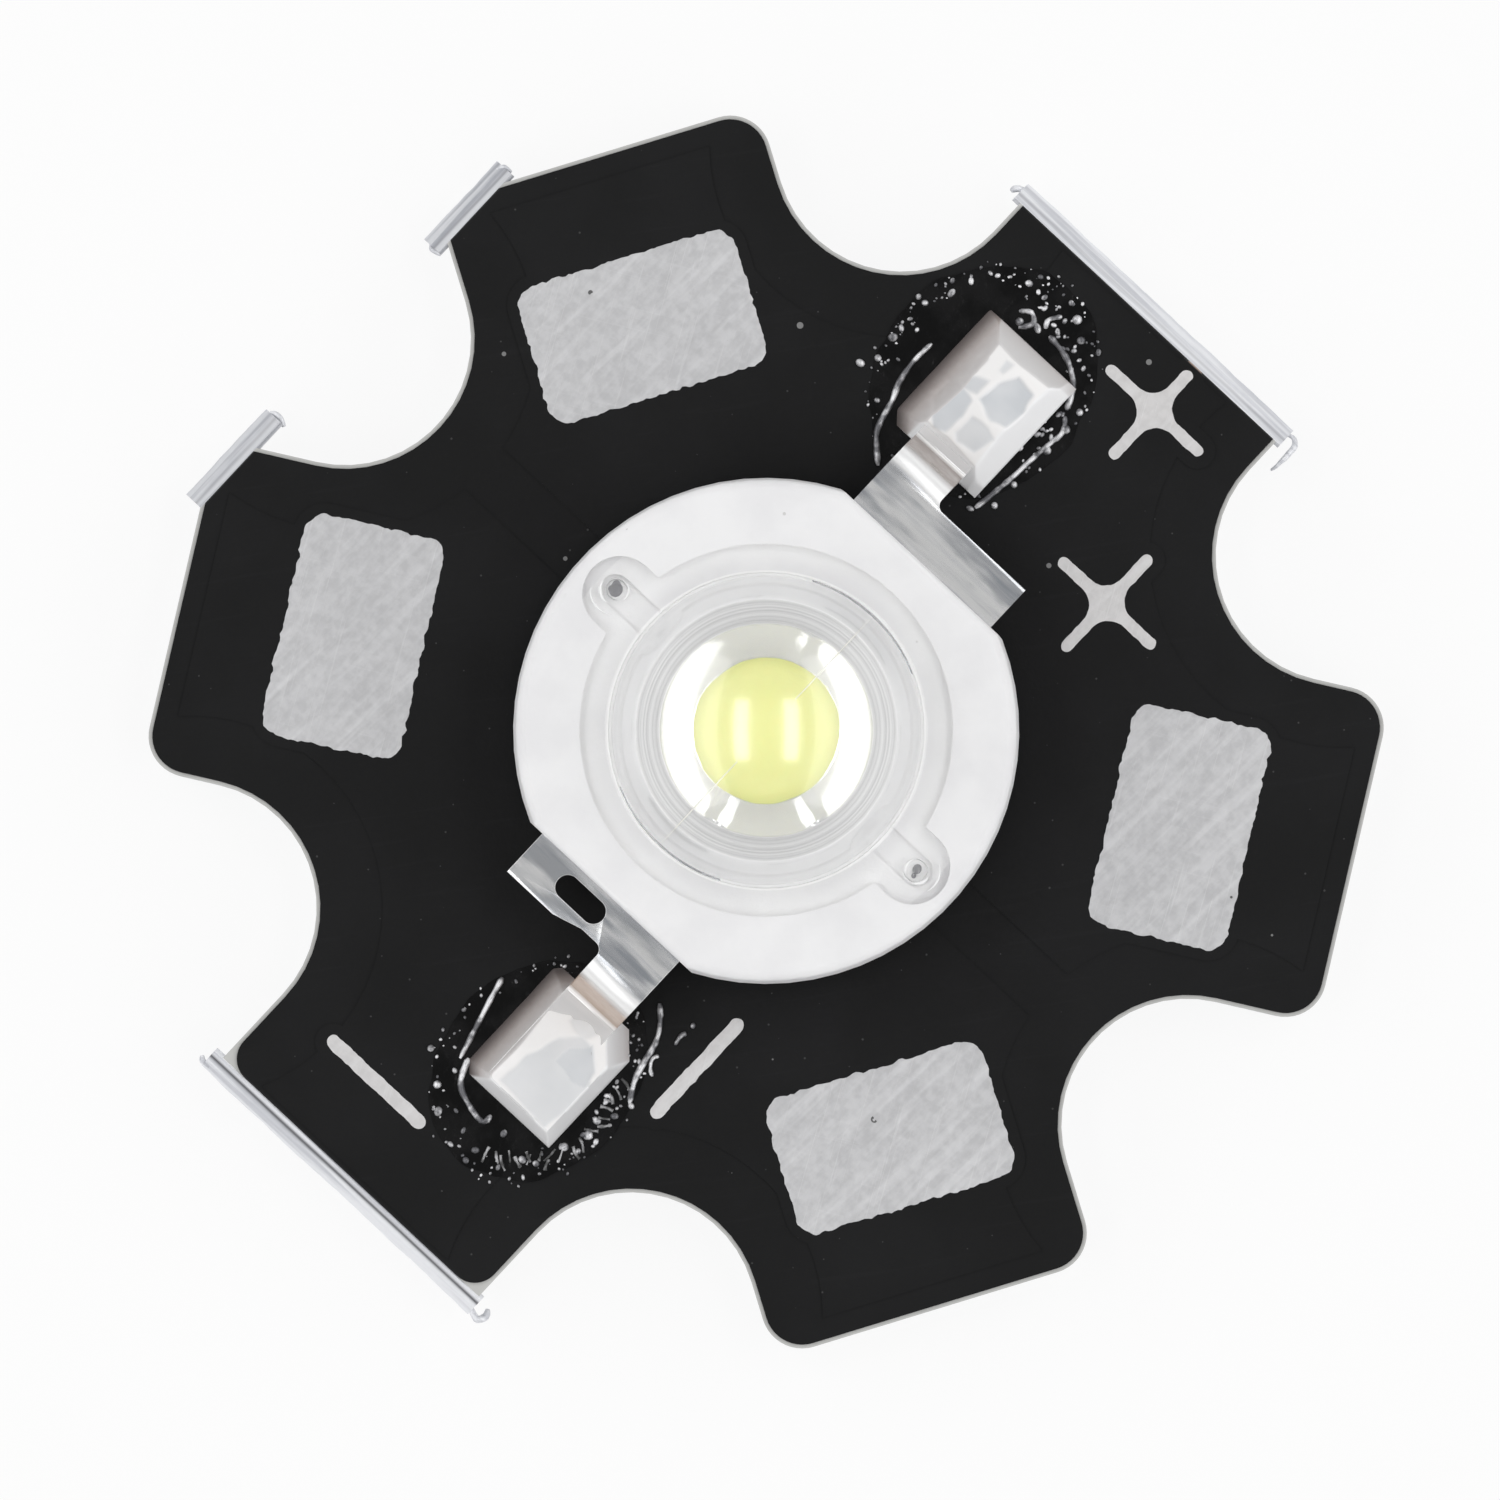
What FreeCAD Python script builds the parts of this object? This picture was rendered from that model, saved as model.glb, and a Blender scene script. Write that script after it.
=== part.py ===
import FreeCAD, Part
import math
import os

# Star-shaped metal-core board with one power emitter soldered in its middle.
# Sizes are in millimetres and degrees. The origin is the centre of the emitter
# on the flat underside of the board, +Z is up, +X points to the anode and
# +Y to the screw notch that lies between the two scored corners.

# Board outline
flat_radius = 9.55            # centre to each flat of the hexagon
notch_radius = 2.00           # root of each screw notch
side_notch_inset = 0.00       # side notch centres, inside the inscribed circle
end_notch_inset = 0.41        # notch centres on the Y axis, inside that circle
corner_radius = 0.65          # punched corners of the four slanting tabs

# Scored edges, where the board was snapped out of its panel
right_score_offset = -0.35    # break plane beyond the flat on the anode side
left_score_offset = 0.42      # break plane beyond the flat on the cathode side
rear_score_offset = -0.25     # break plane across the two rear corners
score_depth = 0.58            # each groove, from above and from below
score_half_angle = 30.0       # flank of a groove from the upright

# Board layers
base_thickness = 1.50
dielectric_thickness = 0.08
copper_thickness = 0.035
mask_over_copper = 0.025
mask_over_dielectric = 0.040
mask_step_width = 0.05        # how far the raised mask runs past the copper
mask_edge_gap = 0.06          # bare rim between the mask and the board's outline
tin_thickness = 0.020

# Etched circuit
copper_margin = 0.45          # copper kept back from the board's outline
screw_head_margin = 1.10      # bare ring for a screw head around each notch
circuit_gap = 1.00            # between the anode half and the cathode half
thermal_pad_radius = 3.20
thermal_isolation = 0.40
window_margin = 0.15          # copper kept under the edge of a mask window

# Wire pads, one on each slanting tab
pad_length = 3.55
pad_width = 2.20
pad_corner_radius = 0.30
pad_edge_gap = 1.72           # from the tab's flat to the pad

# Polarity marks, tinned windows in the mask
mark_width = 0.18
mark_root_radius = 0.36       # inner corners of a plus sign
plus_arm = 1.02
plus_inner_x = 5.18
plus_inner_y = -2.56
plus_outer_edge_gap = 1.27    # from the break plane to the outer plus sign
plus_outer_y = -1.03
plus_outer_short = 0.18       # its arm towards the break plane is this much shorter
minus_length = 2.04
minus_upright_edge_gap = 1.69  # from the break plane to the upright minus sign
minus_upright_y = 0.74
minus_level_x = -4.66
minus_level_y = -2.84

# Emitter, heights from the underside of its heat slug
compound_thickness = 0.085
compound_squeeze = 0.10       # compound pressed out past the slug
slug_flange_radius = 2.95
slug_flange_height = 0.90
slug_chamfer = 0.15
slug_step_radius = 2.20
pedestal_rise = 0.80          # above the upper face of the leads
cup_depth = 0.38
cup_margin = 0.04             # cup floor round the phosphor
cup_well_depth = 0.25         # upright foot of the cup's wall
cup_flare = 0.39              # the reflector above it widens by this much
cup_rim_width = 0.33          # flat rim of the pedestal round the cup

# Moulded body
body_radius = 4.00
body_half_width = 3.60        # centre to each flat
body_standoff = 0.40
body_top = 3.05
body_draft = 0.05             # the wall leans in above and below the leads
body_edge_radius = 0.15
exposed_lead = 0.43           # bare lead inside the cavity, for a bond wire
seat_clearance = 0.05         # between the lens flange and its recess
flange_sink = 0.05            # the flange lies this far below the body's top

# Leads
lead_height = 1.45            # underside of the leads
lead_thickness = 0.40
lead_insulation = 0.20        # plastic between the leads and the slug's step
lead_inner_gap = 0.27         # plastic between a lead and the pedestal
lead_inner_width = 1.70
lead_neck_reach = 2.90        # where the lead widens towards its shoulder
shoulder_reach = 0.82         # outside the body's flat
shoulder_half_width = 1.48
bend_lead_in = 0.76           # from the body's flat to the upper bend
bend_radius = 0.30            # centre line of both bends
bend_angle = 78.0
foot_clearance = 0.135        # solder under the foot
foot_width = 1.02
foot_corner_radius = 0.15
lead_tip = 7.02
cathode_slot_x = 0.35         # outside the body's flat
cathode_slot_y = -0.33
cathode_slot_width = 0.40
cathode_slot_length = 0.95
cathode_waist = 0.14

# Solder joints and the lands under them
land_length = 2.34
land_width = 1.82
land_corner_radius = 0.18
toe_fillet = 0.28             # solder past the lead's tip
land_shift = 0.08             # lands lie this much further out than the feet
solder_cover = 0.11           # solder on top of the foot
solder_waist_inset = 0.10
solder_crown_inset_x = 0.30
solder_crown_inset_y = 0.40

# Lens
dome_height = 2.25
lens_wall = 0.35
lens_crown_wall = 0.45
flange_width = 0.45
flange_ledge = 0.45           # body under the flange
flange_thickness = 0.25
dome_root_radius = 0.12
ear_half_width = 0.55
ear_length = 0.80             # beyond the flange
ear_wall = 0.30               # body left beyond the end of an ear
port_radius = 0.25
port_inset = 0.45             # port centre from the end of an ear
channel_depth = 0.12
meniscus_depth = 0.12

# Chip and its phosphor
die_side = 0.96
die_thickness = 0.12
attach_thickness = 0.02
attach_margin = 0.02
phosphor_cover = 0.033        # beyond the corners of the chip's bond
phosphor_height = 0.56
bond_wire_diameter = 0.04
bond_pad_offset = 0.33        # on the chip, from its centre
bond_lead_overlap = 0.25      # on the lead, from its inner end
bond_loop_rise = 0.25         # above the pedestal
bond_loop_radius = 0.18
bond_loop_lean = 0.40

# Levels that follow from the sizes above
dielectric_top = base_thickness + dielectric_thickness
copper_top = dielectric_top + copper_thickness
mask_top = copper_top + mask_over_copper
board_top = dielectric_top + mask_over_dielectric
tin_top = copper_top + tin_thickness
slug_bottom = copper_top + compound_thickness
flange_top = slug_bottom + slug_flange_height
lead_bottom = slug_bottom + lead_height
lead_top = lead_bottom + lead_thickness
step_top = lead_bottom - lead_insulation
pedestal_top = lead_top + pedestal_rise
cup_floor = pedestal_top - cup_depth
well_top = cup_floor + cup_well_depth
body_bottom = slug_bottom + body_standoff
body_upper = slug_bottom + body_top
recess_floor = body_upper - flange_thickness - flange_sink
lens_flange_top = recess_floor + flange_thickness
foot_bottom = copper_top + foot_clearance
foot_top = foot_bottom + lead_thickness

# Plan places that follow from the sizes above
side_notch_distance = flat_radius - side_notch_inset
end_notch_distance = flat_radius - end_notch_inset
score_right = flat_radius + right_score_offset
score_left = flat_radius + left_score_offset
score_rear = flat_radius + rear_score_offset
phosphor_radius = (die_side / 2 + attach_margin) * math.sqrt(2) + phosphor_cover
cup_floor_radius = phosphor_radius + cup_margin
cup_rim_radius = cup_floor_radius + cup_flare
pedestal_radius = cup_rim_radius + cup_rim_width
lead_inner_end = pedestal_radius + lead_inner_gap
cavity_floor_radius = lead_inner_end + exposed_lead
shoulder_edge = body_half_width + shoulder_reach
foot_centre_y = shoulder_half_width - foot_width / 2
land_outer_end = lead_tip + toe_fillet
land_centre_x = land_outer_end - land_length / 2
land_centre_y = foot_centre_y + land_shift
ear_reach = body_radius - ear_wall
port_distance = ear_reach - port_inset
flange_radius = ear_reach - ear_length
dome_radius = flange_radius - flange_width
cavity_top_radius = flange_radius - flange_ledge
recess_radius = flange_radius + seat_clearance
far = 3 * flat_radius


def vec(x, y, z=0.0):
    return FreeCAD.Vector(x, y, z)


def polar(radius, angle, z=0.0):
    turn = math.radians(angle)
    return vec(radius * math.cos(turn), radius * math.sin(turn), z)


def box(x0, x1, y0, y1, z0, z1):
    return Part.makeBox(x1 - x0, y1 - y0, z1 - z0, vec(x0, y0, z0))


def disc(radius, low, high, centre=None):
    place = centre or vec(0, 0)
    return Part.makeCylinder(radius, high - low, vec(place.x, place.y, low))


def extrude_polygon(points, low, high):
    """Upright prism on a closed outline of straight lines."""
    outline = [vec(p.x, p.y, low) for p in points]
    face = Part.Face(Part.makePolygon(outline + outline[:1]))
    return face.extrude(vec(0, 0, high - low))


def turned(shape, angle):
    """Copy of a shape turned about the Z axis."""
    copy = shape.copy()
    copy.rotate(vec(0, 0), vec(0, 0, 1), angle)
    return copy


def merged(shapes):
    """Union of shapes with the seams between them removed."""
    whole = shapes[0]
    if len(shapes) > 1:
        whole = whole.multiFuse(shapes[1:])
    return whole.removeSplitter()


def upright_edges(shape, places, reach=0.02):
    """Edges along Z that stand on one of the given places in plan."""
    found = []
    for edge in shape.Edges:
        ends = [v.Point for v in edge.Vertexes]
        if len(ends) != 2 or abs(ends[0].z - ends[1].z) < reach:
            continue
        if math.hypot(ends[0].x - ends[1].x, ends[0].y - ends[1].y) > reach:
            continue
        for place in places:
            if math.hypot(ends[0].x - place.x, ends[0].y - place.y) < reach:
                found.append(edge)
    return found


def rings(edge, radius, height, reach=0.001):
    """Whether an edge lies on a level circle about the Z axis."""
    ends = [v.Point for v in edge.Vertexes]
    level = all(abs(p.z - height) < reach for p in ends)
    return level and all(abs(math.hypot(p.x, p.y) - radius) < reach for p in ends)


def rounded_box(length, width, corner, low, high):
    """Box centred on the Z axis with its four upright edges rounded."""
    block = box(-length / 2, length / 2, -width / 2, width / 2, low, high)
    places = [vec(x * length / 2, y * width / 2) for x in (-1, 1) for y in (-1, 1)]
    return block.makeFillet(corner, upright_edges(block, places))


def bar(length, width, low, high, centre, angle):
    """Straight stroke with half-round ends, centred on a place in plan."""
    straight = length / 2 - width / 2
    core = box(-straight, straight, -width / 2, width / 2, low, high)
    ends = [disc(width / 2, low, high, vec(x, 0)) for x in (-straight, straight)]
    stroke = turned(merged([core] + ends), angle)
    stroke.translate(vec(centre.x, centre.y))
    return stroke


def revolved(points):
    """Solid of revolution about Z from a closed outline of (radius, height)."""
    outline = [vec(r, 0, z) for r, z in points]
    face = Part.Face(Part.makePolygon(outline + outline[:1]))
    return face.revolve(vec(0, 0), vec(0, 0, 1), 360)


def dome(base_radius, height, low):
    """Spherical cap that stands on the height low."""
    sphere = (base_radius ** 2 + height ** 2) / (2 * height)
    rise = height - sphere
    middle = math.atan2(-rise, base_radius) / 2 + math.pi / 4
    foot = vec(base_radius, 0, low)
    crown = vec(0, 0, low + height)
    half = vec(sphere * math.cos(middle), 0, low + rise + sphere * math.sin(middle))
    wire = Part.Wire([
        Part.makeLine(vec(0, 0, low), foot),
        Part.Arc(foot, half, crown).toShape(),
        Part.makeLine(crown, vec(0, 0, low)),
    ])
    return Part.Face(wire).revolve(vec(0, 0), vec(0, 0, 1), 360)


# Board

def notch_distance(angle):
    return end_notch_distance if angle % 180 == 90 else side_notch_distance


def notch_cutter(angle, low, high, inset):
    """Screw notch: a 60 degree vee with a round root, open to the outside."""
    radius = notch_radius + inset
    centre = polar(notch_distance(angle), angle, low)
    start = centre + polar(radius, angle + 120)
    root = centre + polar(radius, angle + 180)
    end = centre + polar(radius, angle + 240)
    outer_end = end + polar(far, angle - 30)
    outer_start = start + polar(far, angle + 30)
    wire = Part.Wire([
        Part.Arc(start, root, end).toShape(),
        Part.makeLine(end, outer_end),
        Part.makeLine(outer_end, outer_start),
        Part.makeLine(outer_start, start),
    ])
    return Part.Face(wire).extrude(vec(0, 0, high - low))


def tab_corner(tab, side, inset):
    """Corner of a tab at its flat, on the side +1 or -1 of the tab's axis."""
    half_width = notch_distance(tab + 30 * side) / 2 - notch_radius - inset
    return polar(flat_radius - inset, tab) + polar(half_width, tab + 90 * side)


def star_prism(low, high, inset=0.0):
    """The board's outline between two heights, drawn in all round by inset."""
    vertex = (flat_radius - inset) / math.cos(math.radians(30))
    hexagon = extrude_polygon([polar(vertex, 30 + 60 * i) for i in range(6)], low, high)
    tab_half = vertex * math.sin(math.radians(30))
    long_tab = box(-far, inset - flat_radius / 2, -tab_half, tab_half, low, high)
    reach = box(inset - score_left, score_right - inset, -far, score_rear - inset, low, high)
    notches = [notch_cutter(30 + 60 * i, low, high, inset) for i in range(6)]
    star = merged([hexagon, long_tab]).cut(notches).common(reach)
    rounded = []
    for tab in (60, 120, 240, 300):
        for side in (-1, 1):
            if (tab + 30 * side) % 360 != 90:
                rounded.append(tab_corner(tab, side, inset))
    corners = upright_edges(star, rounded)
    return star.makeFillet(max(corner_radius - inset, mask_step_width), corners)


def score_profile(plane):
    """Outline of a scored and snapped edge, as (distance, height) points."""
    flank = score_depth * math.tan(math.radians(score_half_angle))
    above = board_top + score_depth
    return [
        (plane - flank, 0.0),
        (plane, score_depth),
        (plane, board_top - score_depth),
        (plane - flank * 2, above),
        (plane + far, above),
        (plane + far, -score_depth),
        (plane - flank * 2, -score_depth),
    ]


def score_cutter(plane, angle):
    """Everything that a scored edge takes away, for the side that faces angle."""
    outline = [vec(d, -far, z) for d, z in score_profile(plane)]
    face = Part.Face(Part.makePolygon(outline + outline[:1]))
    return turned(face.extrude(vec(0, 2 * far, 0)), angle)


def scored(layer):
    """A board layer after its three edges were scored."""
    grooves = [
        score_cutter(score_right, 0),
        score_cutter(score_left, 180),
        score_cutter(score_rear, 90),
    ]
    return layer.cut(grooves).removeSplitter()


def wire_pad(tab, low, high, grow=0.0):
    """Pad on a slanting tab, long side along the tab's flat."""
    pad = rounded_box(pad_width + 2 * grow, pad_length + 2 * grow,
                      pad_corner_radius + grow, low, high)
    pad.translate(vec(flat_radius - pad_edge_gap - pad_width / 2, 0))
    return turned(pad, tab)


def solder_land(side, low, high, grow=0.0):
    """Land for a lead's foot: side +1 is the anode, -1 the cathode."""
    land = rounded_box(land_length + 2 * grow, land_width + 2 * grow,
                       land_corner_radius + grow, low, high)
    land.translate(vec(land_centre_x, land_centre_y))
    return turned(land, 0 if side > 0 else 180)


def plus_mark(centre, low, high, grow=0.0, short=0.0):
    """Plus sign with softened inner corners, its arm along +X cut short."""
    length = 2 * plus_arm + 2 * grow
    width = mark_width + 2 * grow
    level = bar(length - short, width, low, high, centre - vec(short / 2, 0), 0)
    sign = merged([level, bar(length, width, low, high, centre, 90)])
    inner = [centre + vec(x * width / 2, y * width / 2) for x in (-1, 1) for y in (-1, 1)]
    return sign.makeFillet(mark_root_radius, upright_edges(sign, inner))


def minus_mark(centre, turn, low, high, grow=0.0):
    return bar(minus_length + 2 * grow, mark_width + 2 * grow, low, high, centre, turn)


def marks(low, high, grow=0.0):
    """The four polarity marks by name, cut off where the board was scored."""
    signs = {
        "plus_mark_inner": plus_mark(vec(plus_inner_x, plus_inner_y), low, high, grow),
        "plus_mark_outer": plus_mark(
            vec(score_right - plus_outer_edge_gap, plus_outer_y), low, high, grow, plus_outer_short),
        "minus_mark_upright": minus_mark(
            vec(minus_upright_edge_gap - score_left, minus_upright_y), 90, low, high, grow),
        "minus_mark_level": minus_mark(
            vec(minus_level_x, minus_level_y), 0, low, high, grow),
    }
    return {name: scored(sign) for name, sign in signs.items()}


def wire_pads(low, high, grow=0.0):
    """The four wire pads by name, right pair positive and left pair negative."""
    tabs = {
        "tin_pad_positive_rear": 60,
        "tin_pad_negative_rear": 120,
        "tin_pad_negative_front": 240,
        "tin_pad_positive_front": 300,
    }
    return {name: wire_pad(tab, low, high, grow) for name, tab in tabs.items()}


def circuit_half(side, low, high, grow=0.0):
    """Etched copper of one polarity: side +1 is the anode, -1 the cathode."""
    sheet = star_prism(low, high, copper_margin - grow)
    cuts = [disc(thermal_pad_radius + thermal_isolation - grow, low, high)]
    for i in range(6):
        angle = 30 + 60 * i
        cuts.append(disc(notch_radius + screw_head_margin - grow, low, high,
                         polar(notch_distance(angle), angle)))
    lands = [solder_land(side, low, high, window_margin + grow)]
    for name, pad in wire_pads(low, high, window_margin + grow).items():
        if ("positive" in name) == (side > 0):
            lands.append(pad)
    for name, sign in marks(low, high, window_margin + grow).items():
        if ("plus" in name) == (side > 0):
            lands.append(sign)
    half = box(circuit_gap / 2 - grow, far, -far, far, low, high)
    sheet = sheet.cut(cuts)
    sheet = sheet.common(half if side > 0 else turned(half, 180))
    return scored(merged([sheet] + lands))


def thermal_pad(low, high, grow=0.0):
    return disc(thermal_pad_radius + grow, low, high)


def solder_mask():
    """Lacquer over the board, raised over the copper and open at its windows."""
    skin = star_prism(dielectric_top, board_top, mask_edge_gap)
    raised = [circuit_half(side, dielectric_top, mask_top, mask_step_width) for side in (1, -1)]
    raised.append(thermal_pad(dielectric_top, mask_top, mask_step_width))
    copper = [circuit_half(side, dielectric_top, copper_top) for side in (1, -1)]
    copper.append(thermal_pad(dielectric_top, copper_top))
    windows = [disc(slug_flange_radius + compound_squeeze, copper_top, mask_top)]
    windows += [solder_land(side, copper_top, mask_top) for side in (1, -1)]
    windows += wire_pads(copper_top, mask_top).values()
    windows += marks(copper_top, mask_top).values()
    return scored(merged([skin] + raised).cut(copper + windows))


# Emitter

def heat_slug():
    """Turned and plated slug: flange, step, pedestal and the cup with its reflector."""
    return revolved([
        (0.0, slug_bottom),
        (slug_flange_radius - slug_chamfer, slug_bottom),
        (slug_flange_radius, slug_bottom + slug_chamfer),
        (slug_flange_radius, flange_top),
        (slug_step_radius, flange_top),
        (slug_step_radius, step_top),
        (pedestal_radius, step_top),
        (pedestal_radius, pedestal_top),
        (cup_rim_radius, pedestal_top),
        (cup_floor_radius, well_top),
        (cup_floor_radius, cup_floor),
        (0.0, cup_floor),
    ])


def thermal_compound():
    """Thin bed between the copper pad and the slug."""
    return disc(slug_flange_radius + compound_squeeze, copper_top, slug_bottom)


def lead_side_face():
    """Side view of a bent lead: shoulder, step down and foot, as one strip."""
    turn = math.radians(bend_angle)
    middle = turn / 2
    drop = lead_bottom - foot_bottom
    slope = (drop - 2 * bend_radius * (1 - math.cos(turn))) / math.sin(turn)
    upper_z = lead_bottom + lead_thickness / 2
    upper = vec(body_half_width + bend_lead_in, 0, upper_z - bend_radius)
    lower = upper + vec(
        2 * bend_radius * math.sin(turn) + slope * math.cos(turn), 0,
        2 * bend_radius * math.cos(turn) - slope * math.sin(turn))

    def on_upper(radius, angle):
        return upper + vec(radius * math.sin(angle), 0, radius * math.cos(angle))

    def on_lower(radius, angle):
        return lower - vec(radius * math.sin(angle), 0, radius * math.cos(angle))

    outside = bend_radius + lead_thickness / 2
    inside = bend_radius - lead_thickness / 2
    start_top = vec(lead_inner_end, 0, lead_top)
    start_bottom = vec(lead_inner_end, 0, lead_bottom)
    tip_top = vec(lead_tip, 0, foot_top)
    tip_bottom = vec(lead_tip, 0, foot_bottom)
    wire = Part.Wire([
        Part.makeLine(start_top, on_upper(outside, 0)),
        Part.Arc(on_upper(outside, 0), on_upper(outside, middle),
                 on_upper(outside, turn)).toShape(),
        Part.makeLine(on_upper(outside, turn), on_lower(inside, turn)),
        Part.Arc(on_lower(inside, turn), on_lower(inside, middle),
                 on_lower(inside, 0)).toShape(),
        Part.makeLine(on_lower(inside, 0), tip_top),
        Part.makeLine(tip_top, tip_bottom),
        Part.makeLine(tip_bottom, on_lower(outside, 0)),
        Part.Arc(on_lower(outside, 0), on_lower(outside, middle),
                 on_lower(outside, turn)).toShape(),
        Part.makeLine(on_lower(outside, turn), on_upper(inside, turn)),
        Part.Arc(on_upper(inside, turn), on_upper(inside, middle),
                 on_upper(inside, 0)).toShape(),
        Part.makeLine(on_upper(inside, 0), start_bottom),
        Part.makeLine(start_bottom, start_top),
    ])
    return Part.Face(wire)


def lead_blank(waist):
    """Flat outline that the lead is punched to, seen from above."""
    low = foot_bottom - lead_thickness
    high = lead_top + lead_thickness
    foot_inner_y = shoulder_half_width - foot_width
    shoulder = extrude_polygon([
        vec(lead_neck_reach, -shoulder_half_width),
        vec(shoulder_edge, -shoulder_half_width),
        vec(shoulder_edge, -shoulder_half_width / 3),
        vec(shoulder_edge - waist, 0),
        vec(shoulder_edge - waist, foot_inner_y),
        vec(shoulder_edge, foot_inner_y),
        vec(lead_tip, foot_inner_y),
        vec(lead_tip, shoulder_half_width),
        vec(lead_neck_reach, shoulder_half_width),
    ], low, high)
    inner = extrude_polygon([
        vec(0, -lead_inner_width / 2),
        vec(lead_inner_end, -lead_inner_width / 2),
        vec(lead_neck_reach, -shoulder_half_width),
        vec(lead_neck_reach, shoulder_half_width),
        vec(lead_inner_end, lead_inner_width / 2),
        vec(0, lead_inner_width / 2),
    ], low, high)
    blank = merged([shoulder, inner]).cut(disc(lead_inner_end, low, high))
    heel = [vec(shoulder_edge - waist, foot_inner_y)]
    tips = [vec(lead_tip, foot_inner_y), vec(lead_tip, shoulder_half_width)]
    return blank.makeFillet(foot_corner_radius, upright_edges(blank, heel + tips))


def lead(side):
    """Bent lead: side +1 is the anode, -1 the cathode with its slot."""
    strip = lead_side_face()
    strip.translate(vec(0, -2 * shoulder_half_width, 0))
    strip = strip.extrude(vec(0, 4 * shoulder_half_width, 0))
    if side > 0:
        return strip.common(lead_blank(0.0)).removeSplitter()
    slot = bar(cathode_slot_length, cathode_slot_width, foot_bottom, lead_top,
               vec(body_half_width + cathode_slot_x, cathode_slot_y), 90)
    return turned(strip.common(lead_blank(cathode_waist)).cut(slot).removeSplitter(), 180)


def solder_section(inset_x, inset_y, height):
    """Closed outline of a solder joint at one height."""
    block = rounded_box(land_length - 2 * inset_x, land_width - 2 * inset_y,
                        land_corner_radius, height, height + 1)
    lowest = min(block.Faces, key=lambda face: face.CenterOfMass.z)
    wire = lowest.OuterWire.copy()
    wire.translate(vec(land_centre_x, land_centre_y, 0))
    return wire


def solder_joint(side, buried_lead):
    """Solder heaped over a lead's foot, wetted out to the edge of its land."""
    height = foot_top + solder_cover
    waist = (copper_top + height) / 2
    heap = Part.makeLoft([
        solder_section(0, 0, copper_top),
        solder_section(solder_waist_inset, solder_waist_inset, waist),
        solder_section(solder_crown_inset_x, solder_crown_inset_y, height),
    ], True, True)
    return turned(heap, 0 if side > 0 else 180).cut(buried_lead)


def ear_plan(half_width, reach, low, high):
    """Two rounded ears along Y, joined across the middle."""
    straight = reach - half_width
    core = box(-half_width, half_width, -straight, straight, low, high)
    ends = [disc(half_width, low, high, vec(0, y)) for y in (-straight, straight)]
    return merged([core] + ends)


def filling_channel(low, high):
    """Narrow way from the cavity out to the two ports."""
    return ear_plan(port_radius, port_distance + port_radius, low, high)


def cavity():
    """Space inside the body above the leads, widening upwards."""
    return revolved([
        (0.0, lead_top),
        (cavity_floor_radius, lead_top),
        (cavity_top_radius, recess_floor),
        (0.0, recess_floor),
    ])


def emitter_body(slug, leads):
    """Moulded body with two flats, a recess for the lens and its cavity."""
    block = revolved([
        (0.0, body_bottom),
        (body_radius - body_draft, body_bottom),
        (body_radius, lead_bottom),
        (body_radius, lead_top),
        (body_radius - body_draft, body_upper),
        (0.0, body_upper),
    ])
    flats = box(-body_half_width, body_half_width, -far, far, body_bottom, body_upper)
    block = block.common(flats)
    rim = [e for e in block.Edges if all(abs(v.Z - body_upper) < 0.001 for v in e.Vertexes)]
    block = block.makeFillet(body_edge_radius, rim)
    recess = merged([
        disc(recess_radius, recess_floor, body_upper),
        ear_plan(ear_half_width + seat_clearance, ear_reach + seat_clearance,
                 recess_floor, body_upper),
    ])
    channel = filling_channel(recess_floor - channel_depth, recess_floor)
    return block.cut([recess, channel, cavity(), slug] + leads).removeSplitter()


def lens():
    """Clear dome with a flange and two ears, hollow underneath."""
    outer = dome(dome_radius, dome_height, lens_flange_top)
    flange = disc(flange_radius, recess_floor, lens_flange_top)
    ears = ear_plan(ear_half_width, ear_reach, recess_floor, lens_flange_top)
    shell = merged([flange, ears, outer])
    root = [e for e in shell.Edges if rings(e, dome_radius, lens_flange_top)]
    shell = shell.makeFillet(dome_root_radius, root)
    ports = [disc(port_radius, recess_floor, lens_flange_top, vec(0, y))
             for y in (-port_distance, port_distance)]
    return shell.cut([lens_hollow()] + ports)


def lens_hollow():
    """Space under the dome that the gel fills."""
    height = flange_thickness + dome_height - lens_crown_wall
    return dome(dome_radius - lens_wall, height, recess_floor)


def die():
    low = cup_floor + attach_thickness
    half = die_side / 2
    return box(-half, half, -half, half, low, low + die_thickness)


def die_attach():
    half = die_side / 2 + attach_margin
    return box(-half, half, -half, half, cup_floor, cup_floor + attach_thickness)


def bond_wire(side):
    """Gold wire from the chip, up over the pedestal and down to a lead."""
    die_top = cup_floor + attach_thickness + die_thickness
    loop = pedestal_top + bond_loop_rise
    lead_x = lead_inner_end + bond_lead_overlap
    points = [
        vec(bond_pad_offset, 0, die_top),
        vec(bond_pad_offset, 0, loop),
        vec(lead_x - bond_loop_lean, 0, loop),
        vec(lead_x, 0, lead_top),
    ]
    edges = []
    start = points[0]
    for before, corner, after in zip(points, points[1:], points[2:]):
        back = (before - corner).normalize()
        ahead = (after - corner).normalize()
        half_turn = back.getAngle(ahead) / 2
        reach = bond_loop_radius / math.tan(half_turn)
        first = corner + back * reach
        last = corner + ahead * reach
        centre = corner + (back + ahead).normalize() * (bond_loop_radius / math.sin(half_turn))
        middle = centre + (corner - centre).normalize() * bond_loop_radius
        edges.append(Part.makeLine(start, first))
        edges.append(Part.Arc(first, middle, last).toShape())
        start = last
    edges.append(Part.makeLine(start, points[-1]))
    section = Part.Wire(Part.makeCircle(bond_wire_diameter / 2, points[0], vec(0, 0, 1)))
    wire = Part.Wire(edges).makePipeShell([section], True, False)
    wire = wire.common(box(0, far, -far, far, die_top, far))
    wire = wire.common(box(0, far, -far, far, lead_top, far))
    return wire if side > 0 else turned(wire, 180)


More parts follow.
